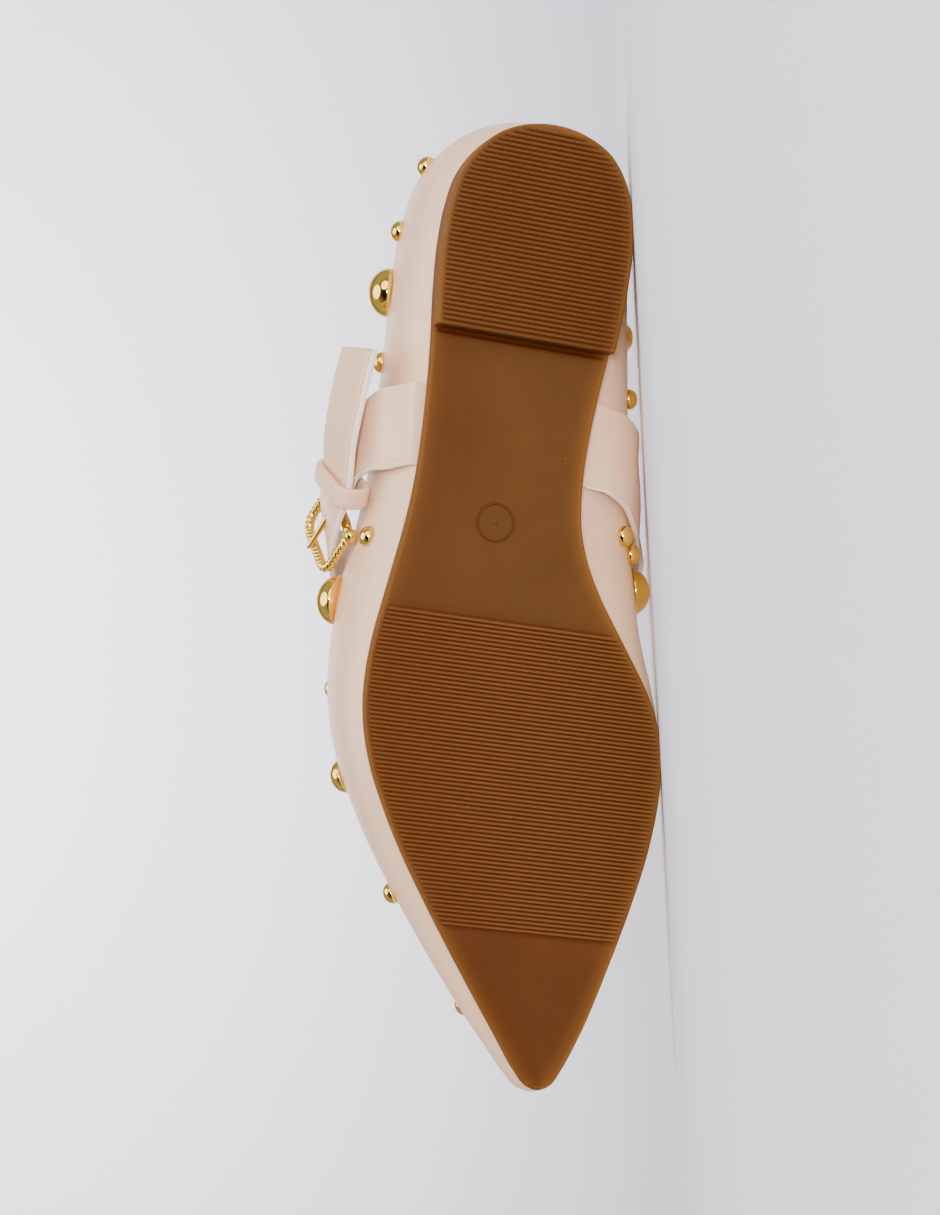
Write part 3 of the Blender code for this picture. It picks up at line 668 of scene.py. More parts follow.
def add_node(tree, kind, inputs=(), **settings):
    """Add a shader node with its settings; an input is a value or the socket that feeds it."""
    node = tree.nodes.new(kind)
    for name, value in settings.items():
        setattr(node, name, value)
    for name, value in dict(inputs).items():
        if isinstance(value, bpy.types.NodeSocket):
            tree.links.new(value, node.inputs[name])
        else:
            node.inputs[name].default_value = value
    return node


def new_material(name):
    """Empty material with its Principled shader and the object's own coordinates."""
    material = bpy.data.materials.new(name)
    material.use_nodes = True
    tree = material.node_tree
    shader = tree.nodes["Principled BSDF"]
    place = add_node(tree, "ShaderNodeTexCoord").outputs["Object"]
    return material, tree, shader, place


def per_metre(millimetres):
    """Texture scale of a pattern whose repeat is a size in millimetres."""
    return 1.0 / (millimetres * MM)


def nappa_leather():
    """Finished nappa: a smooth, close grain under a satin top coat, with faint cloudy tone."""
    material, tree, shader, place = new_material("nappa_leather")
    cloud = add_node(tree, "ShaderNodeTexNoise", {"Vector": place, "Scale": per_metre(45.0), "Detail": 3.0})
    tone = add_node(
        tree,
        "ShaderNodeMix",
        {MIX_SHARE: cloud.outputs["Fac"], MIX_FIRST: linear("#E8B991"), MIX_SECOND: linear("#F1CAA8")},
        data_type="RGBA",
    )
    # The flesh side of a strap is browner, and its cut edge is paler: edge paint, with a painted highlight
    # where the edge faces the light
    for layer, tint in (("inside", "#D9BFA6"), ("painted", "#FDEADC")):
        share = add_node(tree, "ShaderNodeAttribute", attribute_name=layer).outputs["Fac"]
        tone = add_node(
            tree,
            "ShaderNodeMix",
            {MIX_SHARE: share, MIX_FIRST: tone.outputs[MIX_COLOUR], MIX_SECOND: linear(tint)},
            data_type="RGBA",
        )
    tree.links.new(tone.outputs[MIX_COLOUR], shader.inputs["Base Color"])
    # Real pores are about 0.2 mm, drawn at 0.8 mm so that they show
    pores = add_node(tree, "ShaderNodeTexVoronoi", {"Vector": place, "Scale": per_metre(0.8)})
    wrinkle = add_node(tree, "ShaderNodeTexNoise", {"Vector": place, "Scale": per_metre(2.4), "Detail": 4.0})
    grain = add_node(
        tree, "ShaderNodeMath", {0: pores.outputs["Distance"], 1: wrinkle.outputs["Fac"]}, operation="ADD"
    )
    bump = add_node(
        tree, "ShaderNodeBump", {"Height": grain.outputs[0], "Strength": 0.3, "Distance": 0.08 * MM}
    )
    tree.links.new(bump.outputs["Normal"], shader.inputs["Normal"])
    gloss = add_node(
        tree, "ShaderNodeMapRange", {"Value": wrinkle.outputs["Fac"], "To Min": 0.36, "To Max": 0.48}
    )
    tree.links.new(gloss.outputs["Result"], shader.inputs["Roughness"])
    shader.inputs["Coat Weight"].default_value = 0.22
    shader.inputs["Coat Roughness"].default_value = 0.24
    return material


def lining_leather():
    """Unfinished lining leather: matt, with a short suede nap."""
    material, tree, shader, place = new_material("lining_leather")
    cloud = add_node(tree, "ShaderNodeTexNoise", {"Vector": place, "Scale": per_metre(14.0), "Detail": 5.0})
    tone = add_node(
        tree,
        "ShaderNodeMix",
        {MIX_SHARE: cloud.outputs["Fac"], MIX_FIRST: linear("#D2B79B"), MIX_SECOND: linear("#E2CBB2")},
        data_type="RGBA",
    )
    tree.links.new(tone.outputs[MIX_COLOUR], shader.inputs["Base Color"])
    nap = add_node(tree, "ShaderNodeTexNoise", {"Vector": place, "Scale": per_metre(0.7), "Detail": 3.0})
    bump = add_node(
        tree, "ShaderNodeBump", {"Height": nap.outputs["Fac"], "Strength": 0.25, "Distance": 0.1 * MM}
    )
    tree.links.new(bump.outputs["Normal"], shader.inputs["Normal"])
    shader.inputs["Roughness"].default_value = 0.7
    shader.inputs["Sheen Weight"].default_value = 0.15
    return material


def moulded_rubber():
    """Moulded gum rubber: brown in the mass, amber where an edge lets light through, painted shade in the
    grooves.
    """
    material, tree, shader, place = new_material("moulded_rubber")
    cloud = add_node(tree, "ShaderNodeTexNoise", {"Vector": place, "Scale": per_metre(26.0), "Detail": 7.0})
    tone = add_node(
        tree,
        "ShaderNodeMix",
        {MIX_SHARE: cloud.outputs["Fac"], MIX_FIRST: linear("#482C0D"), MIX_SECOND: linear("#623D1A")},
        data_type="RGBA",
    )
    # Rib crests are lighter: a painted highlight
    crest = add_node(tree, "ShaderNodeAttribute", attribute_name="crest").outputs["Fac"]
    # The groove layer is painted shade in the rib grooves, under the heel breast, on the ring and over the
    # outer half of the tread; it also darkens the toe
    groove = add_node(tree, "ShaderNodeAttribute", attribute_name="groove").outputs["Fac"]
    edge = add_node(tree, "ShaderNodeAttribute", attribute_name="edge").outputs["Fac"]
    # Dust in the mould leaves a pale speck here and there
    dust = add_node(tree, "ShaderNodeTexVoronoi", {"Vector": place, "Scale": per_metre(14.0)})
    away = {"Value": dust.outputs["Distance"], "From Min": 0.012, "From Max": 0.03}
    speck = add_node(tree, "ShaderNodeMapRange", {**away, "To Min": 0.7, "To Max": 0.0}).outputs["Result"]
    for share, tint in ((crest, "#68421E"), (groove, "#4B1F01"), (speck, "#7C5428"), (edge, "#7E4E1E")):
        tone = add_node(
            tree,
            "ShaderNodeMix",
            {MIX_SHARE: share, MIX_FIRST: tone.outputs[MIX_COLOUR], MIX_SECOND: linear(tint)},
            data_type="RGBA",
        )
    tree.links.new(tone.outputs[MIX_COLOUR], shader.inputs["Base Color"])
    bloom = add_node(tree, "ShaderNodeTexNoise", {"Vector": place, "Scale": per_metre(1.2), "Detail": 4.0})
    bump = add_node(
        tree, "ShaderNodeBump", {"Height": bloom.outputs["Fac"], "Strength": 0.12, "Distance": 0.1 * MM}
    )
    tree.links.new(bump.outputs["Normal"], shader.inputs["Normal"])
    gloss = add_node(
        tree, "ShaderNodeMapRange", {"Value": cloud.outputs["Fac"], "To Min": 0.58, "To Max": 0.74}
    )
    tree.links.new(gloss.outputs["Result"], shader.inputs["Roughness"])
    shader.inputs["Specular IOR Level"].default_value = 0.1
    return material


def polished_gold():
    """Gold-plated brass, polished: a mirror whose gloss varies faintly."""
    material, tree, shader, place = new_material("polished_gold")
    shader.inputs["Base Color"].default_value = linear("#EFC65A")
    shader.inputs["Metallic"].default_value = 1.0
    haze = add_node(tree, "ShaderNodeTexNoise", {"Vector": place, "Scale": per_metre(3.0), "Detail": 5.0})
    gloss = add_node(
        tree, "ShaderNodeMapRange", {"Value": haze.outputs["Fac"], "To Min": 0.05, "To Max": 0.12}
    )
    tree.links.new(gloss.outputs["Result"], shader.inputs["Roughness"])
    return material


def waxed_thread():
    """Waxed polyester thread, twisted and slightly shiny."""
    material, tree, shader, place = new_material("waxed_thread")
    # A wave repeats about three times in its scale's size, so the twist is about 0.6 mm long
    twist = add_node(tree, "ShaderNodeTexWave", {"Vector": place, "Scale": per_metre(2.0), "Distortion": 1.0})
    tone = add_node(
        tree,
        "ShaderNodeMix",
        {MIX_SHARE: twist.outputs["Fac"], MIX_FIRST: linear("#EBD2BC"), MIX_SECOND: linear("#F5E2D0")},
        data_type="RGBA",
    )
    tree.links.new(tone.outputs[MIX_COLOUR], shader.inputs["Base Color"])
    shader.inputs["Roughness"].default_value = 0.5
    return material


def mapped_grid(columns, rows, place, layers=()):
    """Grid whose points go where place puts their column and row numbers, merged and facing outwards.

    Place returns the points and one list of values for each named layer.
    """
    bm = bmesh.new()
    bmesh.ops.create_grid(bm, x_segments=columns, y_segments=rows, size=0.5)
    shares = np.array([(vert.co.x + 0.5, vert.co.y + 0.5) for vert in bm.verts])
    numbers = np.rint(shares * (columns, rows)).astype(int)
    points, *values = place(numbers[:, 0], numbers[:, 1])
    for name, column_values in zip(layers, values):
        layer = bm.verts.layers.float.new(name)
        for vert, value in zip(bm.verts, column_values):
            vert[layer] = value
    for vert, point in zip(bm.verts, points):
        vert.co = point
    bmesh.ops.remove_doubles(bm, verts=bm.verts, dist=WELD)
    bmesh.ops.recalc_face_normals(bm, faces=bm.faces)
    return bm


def close_ends(bm):
    """Fill the open ends of a mesh and turn its faces outwards."""
    ends = [edge for edge in bm.edges if edge.is_boundary]
    bmesh.ops.holes_fill(bm, edges=ends, sides=0)
    bmesh.ops.recalc_face_normals(bm, faces=bm.faces)


def finished_mesh(name, bm):
    """Mesh of a bmesh, which is freed."""
    mesh = bpy.data.meshes.new(name)
    bm.to_mesh(mesh)
    bm.free()
    return mesh


def add_object(name, data):
    """Object of a mesh, light or camera, in the scene."""
    item = bpy.data.objects.new(name, data)
    bpy.context.scene.collection.objects.link(item)
    return item


def add_piece(name, bm, materials, nodes=()):
    """Lay a millimetre bmesh down as a piece of the shoe that stands for its nodes."""
    mesh = finished_mesh(name, bm)
    mesh.transform(SHOE)
    mesh.shade_smooth()
    for material in materials:
        mesh.materials.append(material)
    piece = add_object(name, mesh)
    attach(piece, "root")
    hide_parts(*nodes)
    return piece


def squared(wave, power):
    """Sine or cosine pushed towards its ends, which squares off a round section."""
    return np.sign(wave) * np.abs(wave) ** power


def sole_sides(stations, inset):
    """Skewed cross lines kept on the sole, less an inset, and its outer and inner edge on them."""
    edge, out = LAST.outline(np.linspace(0.0, LAST.period, OUTLINE_SAMPLES, endpoint=False))
    edge = edge - inset * out
    line = edge[:, 0] + edge[:, 1] * math.tan(CROSS_SKEW)
    back = int(np.argmin(line))
    toe = int(np.argmax(line))
    outer = (back + np.arange((toe - back) % OUTLINE_SAMPLES + 1)) % OUTLINE_SAMPLES
    inner = (back - np.arange((back - toe) % OUTLINE_SAMPLES + 1)) % OUTLINE_SAMPLES
    outer_y = np.interp(stations, np.maximum.accumulate(line[outer]), edge[outer, 1])
    inner_y = np.interp(stations, np.maximum.accumulate(line[inner]), edge[inner, 1])
    middle = 0.5 * (outer_y + inner_y)
    stations = np.clip(stations, line[back], line[toe])
    return stations, np.maximum(outer_y, middle), np.minimum(inner_y, middle)


def sole_margin(stations, inset):
    """Like the sole's sides, but an inset that is wider than the border goes on straight across."""
    lines, outer, inner = sole_sides(stations, min(inset, BORDER))
    middle = 0.5 * (outer + inner)
    further = max(inset - BORDER, 0.0)
    return lines, np.maximum(outer - further, middle), np.minimum(inner + further, middle)


def sole_ends(inset):
    """First and last cross line of the sole, less an inset."""
    ends, _, _ = sole_sides(np.array([-SOLE_LENGTH, 2 * SOLE_LENGTH]), inset)
    return ends


def quarter_steps(count):
    """Shares from 0 to 1 that start close together."""
    return 1.0 - np.cos(np.linspace(0.0, QUARTER_TURN, count))


def sole_loop():
    """Columns round one section: tread from outer to inner, inner wall, seat, outer wall."""
    # The outer edge shows less amber: painted shade
    loop = [Loop(step.inset, 0.0, "under", 0.0, step.ribs, OUTER_AMBER * step.amber) for step in TREAD]
    loop += [Loop(TREAD_CORE, share, "under", 0.0, 1.0, 0.0) for share in TREAD_SHARES]
    loop += [Loop(step.inset, 1.0, "under", 0.0, step.ribs, step.amber) for step in TREAD[::-1]]
    loop += [Loop(step.inset, 1.0, step.level, step.rise, 0.0, WALL_AMBER) for step in SOLE_WALL]
    loop += [Loop(TREAD_CORE, share, "top", 0.0, 0.0, 0.0) for share in SEAT_SHARES]
    loop += [Loop(step.inset, 0.0, step.level, step.rise, 0.0, WALL_AMBER) for step in SOLE_WALL[::-1]]
    return loop


def is_ribbed(station):
    """Whether a cross line lies in a ribbed zone."""
    return any(zone.first <= station <= zone.last for zone in (HEEL_RIBS, FOREFOOT_RIBS))


def rib_rows(zone, on_heel):
    """Cross lines of a ribbed zone, each rib a flat crest and a groove."""
    rows = []
    for number in range(int((zone.last - zone.first) / zone.pitch)):
        for step in RIB_STEPS:
            station = zone.first + (number + step.along) * zone.pitch
            rows.append(SoleRow(station, on_heel, 0.0, step.depth, 0.0))
    return rows


def sole_rows():
    """Cross lines from the back of the heel to the tip of the toe."""
    first, last = sole_ends(0.0)
    breast = HEEL_BREAST * SOLE_LENGTH
    back = first + (HEEL_RIBS.first - first) * quarter_steps(END_ROWS)[:-1]
    waist = np.linspace(breast + WAIST_START, FOREFOOT_RIBS.first - FOREFOOT_RIBS.pitch, WAIST_ROWS)
    toe = last + (FOREFOOT_RIBS.last + PLAIN_TOE_GAP - last) * quarter_steps(END_ROWS)[::-1]
    rows = [SoleRow(station, True, 0.0, 0.0, 0.0) for station in back]
    rows += rib_rows(HEEL_RIBS, True)
    rows += [SoleRow(breast + row.along, True, row.lift, row.groove, row.shade) for row in BREAST_LIP]
    rows += [SoleRow(breast + row.along, False, row.lift, row.groove, row.shade) for row in BREAST_FOOT]
    rows += [SoleRow(station, False, 0.0, 0.0, 0.0) for station in waist]
    rows += [SoleRow(FOREFOOT_RIBS.first - FIRST_GROOVE * FOREFOOT_RIBS.pitch, False, 0.0, 1.0, 0.0)]
    rows += rib_rows(FOREFOOT_RIBS, False)
    rows += [SoleRow(station, False, 0.0, 0.0, TOE_SHADE) for station in toe]
    return rows


def make_outsole(rubber):
    """Moulded unit sole with a ribbed heel block, a plain arched waist and a ribbed forefoot."""
    rows = sole_rows()
    loop = sole_loop()
    stations, on_heel, lift, groove, shade = np.array(rows, float).T
    on_heel = on_heel > 0.0
    ribbed = np.array([is_ribbed(station) for station in stations])
    sides = {inset: sole_margin(stations, inset) for inset in {column.inset for column in loop}}
    line, outer, inner = (np.array([sides[column.inset][i] for column in loop]) for i in range(3))
    share = np.array([column.share for column in loop])[:, None]
    y_table = outer + (inner - outer) * share
    x_table = line - y_table * math.tan(CROSS_SKEW)
    is_top = np.array([column.level == "top" for column in loop])
    rise = np.array([column.rise for column in loop])
    ribs = np.array([column.ribs for column in loop])
    amber = np.array([column.amber for column in loop])
    is_tread = ~is_top & (rise == 0.0)
    # Painted shade: the tread darkens towards its outer edge, as if the light fell from the inner side
    tone = OUTER_SHADE * is_tread * np.clip(1.0 - share[:, 0] / OUTER_HALF, 0.0, 1.0)
    room = ease((sides[BORDER][1] - sides[BORDER][2]) / (2 * BORDER))

    def place(column, row):
        column = column % len(loop)
        x = x_table[column, row]
        y = y_table[column, row]
        cut = groove[row] * ribs[column] * room[row]
        under = np.where(on_heel[row], 0.0, tread_height(x)) + lift[row] + RIB_DEPTH * cut
        z = np.where(is_top[column], seat_height(x), under) + rise[column]
        # Lighter rib crests are a painted highlight, weaker on the heel
        crest = ribbed[row] * ribs[column] * room[row] * np.where(on_heel[row], HEEL_CREST_HIGHLIGHT, 1.0) - cut
        glow = amber[column] * (1.0 - RIB_AMBER * ribbed[row] * is_tread[column])
        painted_outer_shade = np.where(on_heel[row], 0.0, tone[column])
        # Painted shade in the grooves, under the heel breast and over the outer half of the tread, with the
        # darker toe
        dark = np.maximum(cut, shade[row])
        return np.column_stack([x, y, z]), glow, crest, dark + (1.0 - np.minimum(dark, 1.0)) * painted_outer_shade

    bm = mapped_grid(len(loop), len(rows) - 1, place, ("edge", "crest", "groove"))
    add_piece("sole_unit", bm, [rubber], ["outsole"])


def make_sole_ring(rubber):
    """Raised ring moulded in the waist, with a plain pip in its middle."""

    def place(column, row):
        turn = column / RING_SIDES * FULL_TURN
        bend = row / WIRE_SIDES * FULL_TURN
        radius = RING_RADIUS + RING_WIRE * np.cos(bend)
        x = RING_X + radius * np.cos(turn)
        y = RING_Y + radius * np.sin(turn)
        shade = np.full(len(x), RING_SHADE)
        return np.column_stack([x, y, tread_height(x) + RING_WIRE * np.sin(bend)]), shade

    bm = mapped_grid(RING_SIDES, WIRE_SIDES, place, ("groove",))
    pip_height = tread_height(np.array([RING_X]))[0]
    pip = Matrix.Translation((RING_X, RING_Y, pip_height)) @ Matrix.Diagonal((1.0, 1.0, PIP_FLATNESS, 1.0))
    bmesh.ops.create_uvsphere(
        bm, u_segments=WIRE_SIDES, v_segments=PIP_RINGS, radius=PIP_RADIUS, matrix=pip
    )
    add_piece("sole_ring", bm, [rubber])


def cover_reach(stations, bulge):
    """How far the insole's cover runs out from its inset to meet the lining of the wall."""
    along = [row.along / 100.0 * SOLE_LENGTH for row in SECTIONS]
    wall = np.interp(stations, along, [getattr(row, bulge) for row in SECTIONS])
    reach = COVER_RISE * wall + COVER_LAP + INSOLE_INSET - FEATHER_INSET - WALL
    return np.minimum(reach, COVER_MOST)


def make_insole(lining):
    """Covered board inside the upper, following the seat of the sole."""
    first, last = sole_ends(INSOLE_INSET) + np.array([INSOLE_TIP, -INSOLE_TIP])
    middle = 0.5 * (first + last)
    back = first + (middle - first) * quarter_steps(INSOLE_ROWS)
    front = last + (middle - last) * quarter_steps(INSOLE_ROWS)[::-1]
    stations = np.concatenate([back, front[1:]])
    _, outer, inner = sole_sides(stations, INSOLE_INSET)
    taper = ease(np.minimum(stations - first, last - stations) / INSOLE_TAPER)
    outer = outer + cover_reach(stations, "outer_bulge") * taper
    inner = inner - cover_reach(stations, "inner_bulge") * taper

    def place(column, row):
        turn = column % INSOLE_SIDES / INSOLE_SIDES * FULL_TURN
        across = squared(np.cos(turn), INSOLE_SIDE_POWER)
        up = squared(np.sin(turn), INSOLE_FACE_POWER)
        y = 0.5 * (outer + inner)[row] + 0.5 * (outer - inner)[row] * across
        x = stations[row] - y * math.tan(CROSS_SKEW)
        z = seat_height(x) + INSOLE_SEAM + (INSOLE_THICKNESS + GAP - INSOLE_SEAM) * (0.5 + 0.5 * up)
        return [np.column_stack([x, y, z])]

    bm = mapped_grid(INSOLE_SIDES, len(stations) - 1, place)
    close_ends(bm)
    add_piece("insole_cover", bm, [lining], ["insole"])


def crease_depth(keys, heights):
    """How deep the creases are at places on the upper."""
    depth = np.zeros(np.shape(keys))
    for crease in CREASES:
        away = keys - LAST.key(crease.along, SIDES[crease.side])
        away = np.mod(away + LAST.period / 2, LAST.period) - LAST.period / 2
        climb = heights - crease.height / 100.0
        along = (away - crease.slant * climb) / crease.reach
        depth += crease.depth * np.exp(-along**2 - (climb / (crease.rise / 100.0)) ** 2)
    return depth


def make_upper(leather, lining):
    """Lasted leather shell with its lining, open at the collar and underneath."""
    keys = LAST.ring_keys(LOOP_STEPS)

    def place(column, row):
        key = keys[column % LOOP_STEPS]
        height = row / WALL_STEPS
        points, normals, _ = LAST.upper_frame(key, height)
        return [points - normals * crease_depth(key, height)[:, None]]

    bm = mapped_grid(LOOP_STEPS, WALL_STEPS, place)
    tree = BVHTree.FromBMesh(bm)
    piece = add_piece("upper_shell", bm, [leather, lining], ["upper"])
    solidify = piece.modifiers.new("wall", "SOLIDIFY")
    solidify.thickness = WALL * MM
    solidify.offset = -1.0
    solidify.use_even_offset = True
    solidify.material_offset = 1
    return tree


def make_binding(leather):
    """Turned edge of the leather that rolls over the topline."""
    keys = LAST.ring_keys(LOOP_STEPS)
    rim, out, run = LAST.upper_frame(keys, 1.0)
    up = np.cross(run, out)
    up *= np.sign(up[:, 2:])
    centre = rim - out * WALL / 2

    def place(column, row):
        column = column % LOOP_STEPS
        turn = row / BEAD_SIDES * FULL_TURN
        over = out[column] * (BEAD_OUT * np.cos(turn))[:, None]
        return [centre[column] + over + up[column] * (BEAD_UP * np.sin(turn))[:, None]]

    bm = mapped_grid(LOOP_STEPS, BEAD_SIDES, place)
    add_piece("topline_binding", bm, [leather])


def stitch_mesh():
    """One stitch: a short spindle of thread along x."""
    bm = bmesh.new()
    bmesh.ops.create_uvsphere(bm, u_segments=STITCH_SIDES, v_segments=STITCH_RINGS, radius=1.0)
    bmesh.ops.rotate(bm, verts=bm.verts, matrix=Matrix.Rotation(QUARTER_TURN, 3, "Y"))
    bmesh.ops.scale(bm, verts=bm.verts, vec=(STITCH_LENGTH / 2, STITCH_WIRE, STITCH_WIRE))
    return finished_mesh("stitch", bm)


def place_copies(bm, mesh, places, runs, outs):
    """Add a copy of a mesh at each place, x along its run and z along its outward side."""
    for place, run, out in zip(places, runs, outs):
        turn = Matrix((run, np.cross(out, run), out)).transposed().to_4x4()
        copy = mesh.copy()
        copy.transform(Matrix.Translation(place) @ turn)
        bm.from_mesh(copy)
        bpy.data.meshes.remove(copy)


def stitch_heights(keys):
    """Heights on the upper that lie the stitches' drop under the topline."""
    ones = np.ones(len(keys))
    step = LAST.upper(keys, ones) - LAST.upper(keys, (1.0 - TOPLINE_STEP) * ones)
    return 1.0 - TOPLINE_STEP * STITCH_DROP / np.linalg.norm(step, axis=1)


def make_topline_stitches(thread):
    """Row of stitches that holds the turned edge."""
    fine = np.linspace(0.0, LAST.period, OUTLINE_SAMPLES)
    line = LAST.upper(fine, stitch_heights(fine))
    length = np.append(0.0, np.cumsum(np.linalg.norm(np.diff(line, axis=0), axis=1)))
    count = int(length[-1] / STITCH_STEP)
    at = np.arange(count) * length[-1] / count
    keys = np.interp(at, length, fine)
    places, outs, _ = LAST.upper_frame(keys, stitch_heights(keys))
    runs = unit(np.roll(places, -1, 0) - np.roll(places, 1, 0))
    bm = bmesh.new()
    place_copies(bm, stitch_mesh(), places, runs, outs)
    add_piece("topline_stitches", bm, [thread])


class Band:
    """A flat strap along a route, with its run, its outward side and its width direction."""

    def __init__(self, route):
        self.route = np.array(route)
        steps = np.linalg.norm(np.diff(self.route[:, :3], axis=0), axis=1)
        self.length = steps.sum()
        self.row_shares = np.append(0.0, np.cumsum(steps)) / self.length

    def frame(self, shares):
        """Centre, run, outward and across directions, and width, at shares of the length."""
        here = open_spline(self.route, shares)
        ahead = open_spline(self.route, np.clip(shares + ROUTE_STEP, 0.0, 1.0))
        behind = open_spline(self.route, np.clip(shares - ROUTE_STEP, 0.0, 1.0))
        run = unit((ahead - behind)[:, :3])
        out = here[:, :3] - (0.0, FOOT_AXIS_Y, FOOT_AXIS_Z)
        out[:, 0] = 0.0
        out = unit(out - run * np.sum(out * run, axis=1)[:, None])
        return here[:, :3], run, out, np.cross(run, out), here[:, 3]


def settle(points, tree, clearance):
    """Points with those that are inside the upper, or too near it, moved out to a clearance."""
    points = points.copy()
    for point in points.reshape(-1, 3):
        place, normal, _, _ = tree.find_nearest(Vector(point), BAND_REACH)
        if place is None:
            continue
        depth = (Vector(point) - place).dot(normal)
        if depth < clearance:
            point += np.array(normal) * (clearance - depth)
    return points


def blurred(rows, rounds):
    """Rows of vectors with each one drawn towards its neighbours along the rows, round by round."""
    for _ in range(rounds):
        padded = np.concatenate([rows[:1], rows, rows[-1:]])
        rows = 0.25 * padded[:-2] + 0.5 * rows + 0.25 * padded[2:]
    return rows


def sole_edge(x, side):
    """Distance of the sole's edge from its middle line, at x on one side."""
    edge, _ = LAST.outline(np.linspace(0.0, LAST.period, OUTLINE_SAMPLES))
    toe = int(np.argmax(edge[:, 0]))
    half = edge[: toe + 1] if side > 0 else edge[:toe - 1:-1]
    return np.interp(x, np.maximum.accumulate(half[:, 0]), half[:, 1])


def band_sheet(band, steps, tree):
    """Inner face of a strap as rows of points, with its outward directions and widths."""
    shares = np.linspace(0.0, 1.0, steps + 1)
    centre, _, out, across, width = band.frame(shares)
    side = math.copysign(1.0, centre[0, 1])
    spread = -0.5 * np.cos(np.linspace(0.0, math.pi, BAND_COLUMNS + 1))
    points = centre[:, None] + across[:, None] * (width[:, None] * spread)[:, :, None]
    moved = blurred(settle(points, tree, BAND_CLEARANCE) - points, BAND_BLUR)
    points = settle(points + moved, tree, BAND_LEAST)
    rooted = np.clip(1.0 - shares * band.length / BAND_ROOT, 0.0, 1.0)[:, None]
    root_y = sole_edge(points[:, :, 0], side) - side * BAND_TUCK
    points[:, :, 1] += (root_y - points[:, :, 1]) * rooted
    points[:, :, 2] += (seat_height(points[:, :, 0]) - points[:, :, 2]) * rooted
    normals = unit(np.cross(np.gradient(points, axis=0), np.gradient(points, axis=1)))
    normals *= np.sign(np.sum(normals * out[:, None], axis=2, keepdims=True))
    return points, normals, width, spread


def make_band(name, node, band, steps, tree, leather):
    """Leather strap with turned edges, rounded all the way along, that lies on the upper."""
    points, normals, width, spread = band_sheet(band, steps, tree)
    loop = 2 * BAND_COLUMNS

    def place(column, row):
        column = column % loop
        is_inner = column > BAND_COLUMNS
        across = np.where(is_inner, loop - column, column)
        half = STRAP_THICKNESS / 2 * (1.0 - np.abs(2 * spread[across]) ** EDGE_POWER) ** (1.0 / EDGE_POWER)
        from_edge = (0.5 - np.abs(spread[across])) * width[row]
        turned = TURNED_DEPTH * np.exp(-(((from_edge - TURNED_EDGE) / TURNED_WIDTH) ** 2))
        offset = STRAP_THICKNESS / 2 + np.where(is_inner, -half, half - turned)
        face = points[row, across] + normals[row, across] * offset[:, None]
        face[:, 2] = np.maximum(face[:, 2], seat_height(face[:, 0]))
        # The cut edge's pale layer is edge paint together with a painted highlight
        return face, np.where(is_inner, 1.0, 0.0), 1.0 - ease(from_edge / EDGE_PAINT_AND_HIGHLIGHT)

    bm = mapped_grid(loop, steps, place, ("inside", "painted"))
    close_ends(bm)
    add_piece(name, bm, [leather], [node])


def rounded_loop(half_width, half_height, corner):
    """Points round a rectangle with round corners, and their outward directions."""
    steps = np.arange(CORNER_STEPS + 1) / CORNER_STEPS
    turns = np.concatenate([quarter + steps for quarter in range(4)]) * QUARTER_TURN
    outs = np.column_stack([np.cos(turns), np.sin(turns)])
    signs = np.repeat([(1, 1), (-1, 1), (-1, -1), (1, -1)], CORNER_STEPS + 1, axis=0)
    return signs * (half_width - corner, half_height - corner) + corner * outs, outs


def make_keeper(strap, leather):
    """Rounded leather loop round the strap and its anchor."""
    centre, run, out, across, width = strap.frame(strap.row_shares[[KEEPER_ROW]])
    below = STRAP_THICKNESS + 2 * KEEPER_CLEARANCE
    above = STRAP_THICKNESS + KEEPER_CLEARANCE
    loop, facing = rounded_loop(width[0] / 2 + KEEPER_CLEARANCE, (below + above) / 2, KEEPER_CORNER)
    loop[:, 1] += (above - below) / 2

    def place(column, row):
        column = column % len(loop)
        turn = row / SECTION_STEPS * FULL_TURN
        bend = squared(np.cos(turn), KEEPER_EDGE_POWER)
        proud = 0.5 + 0.5 * squared(np.sin(turn), KEEPER_EDGE_POWER)
        ring = loop[column] + facing[column] * (KEEPER_THICKNESS * proud)[:, None]
        along = run[0] * (KEEPER_LENGTH / 2 * bend)[:, None]
        return [centre[0] + along + across[0] * ring[:, :1] + out[0] * ring[:, 1:]]

    bm = mapped_grid(len(loop), SECTION_STEPS, place)
    add_piece("keeper_loop", bm, [leather], ["strap_keeper"])


def buckle_axes(strap):
    """Middle of the buckle's bar, and the directions along, across and off the buckle, and off the strap."""
    centre, run, out, across, _ = (value[0] for value in strap.frame(strap.row_shares[[BAR_ROW]]))
    lift = math.radians(BUCKLE_LIFT)
    reach = -run * math.cos(lift) + out * math.sin(lift)
    return centre - out * (BUCKLE_WIRE + 2 * GAP), reach, across, np.cross(reach, across), out


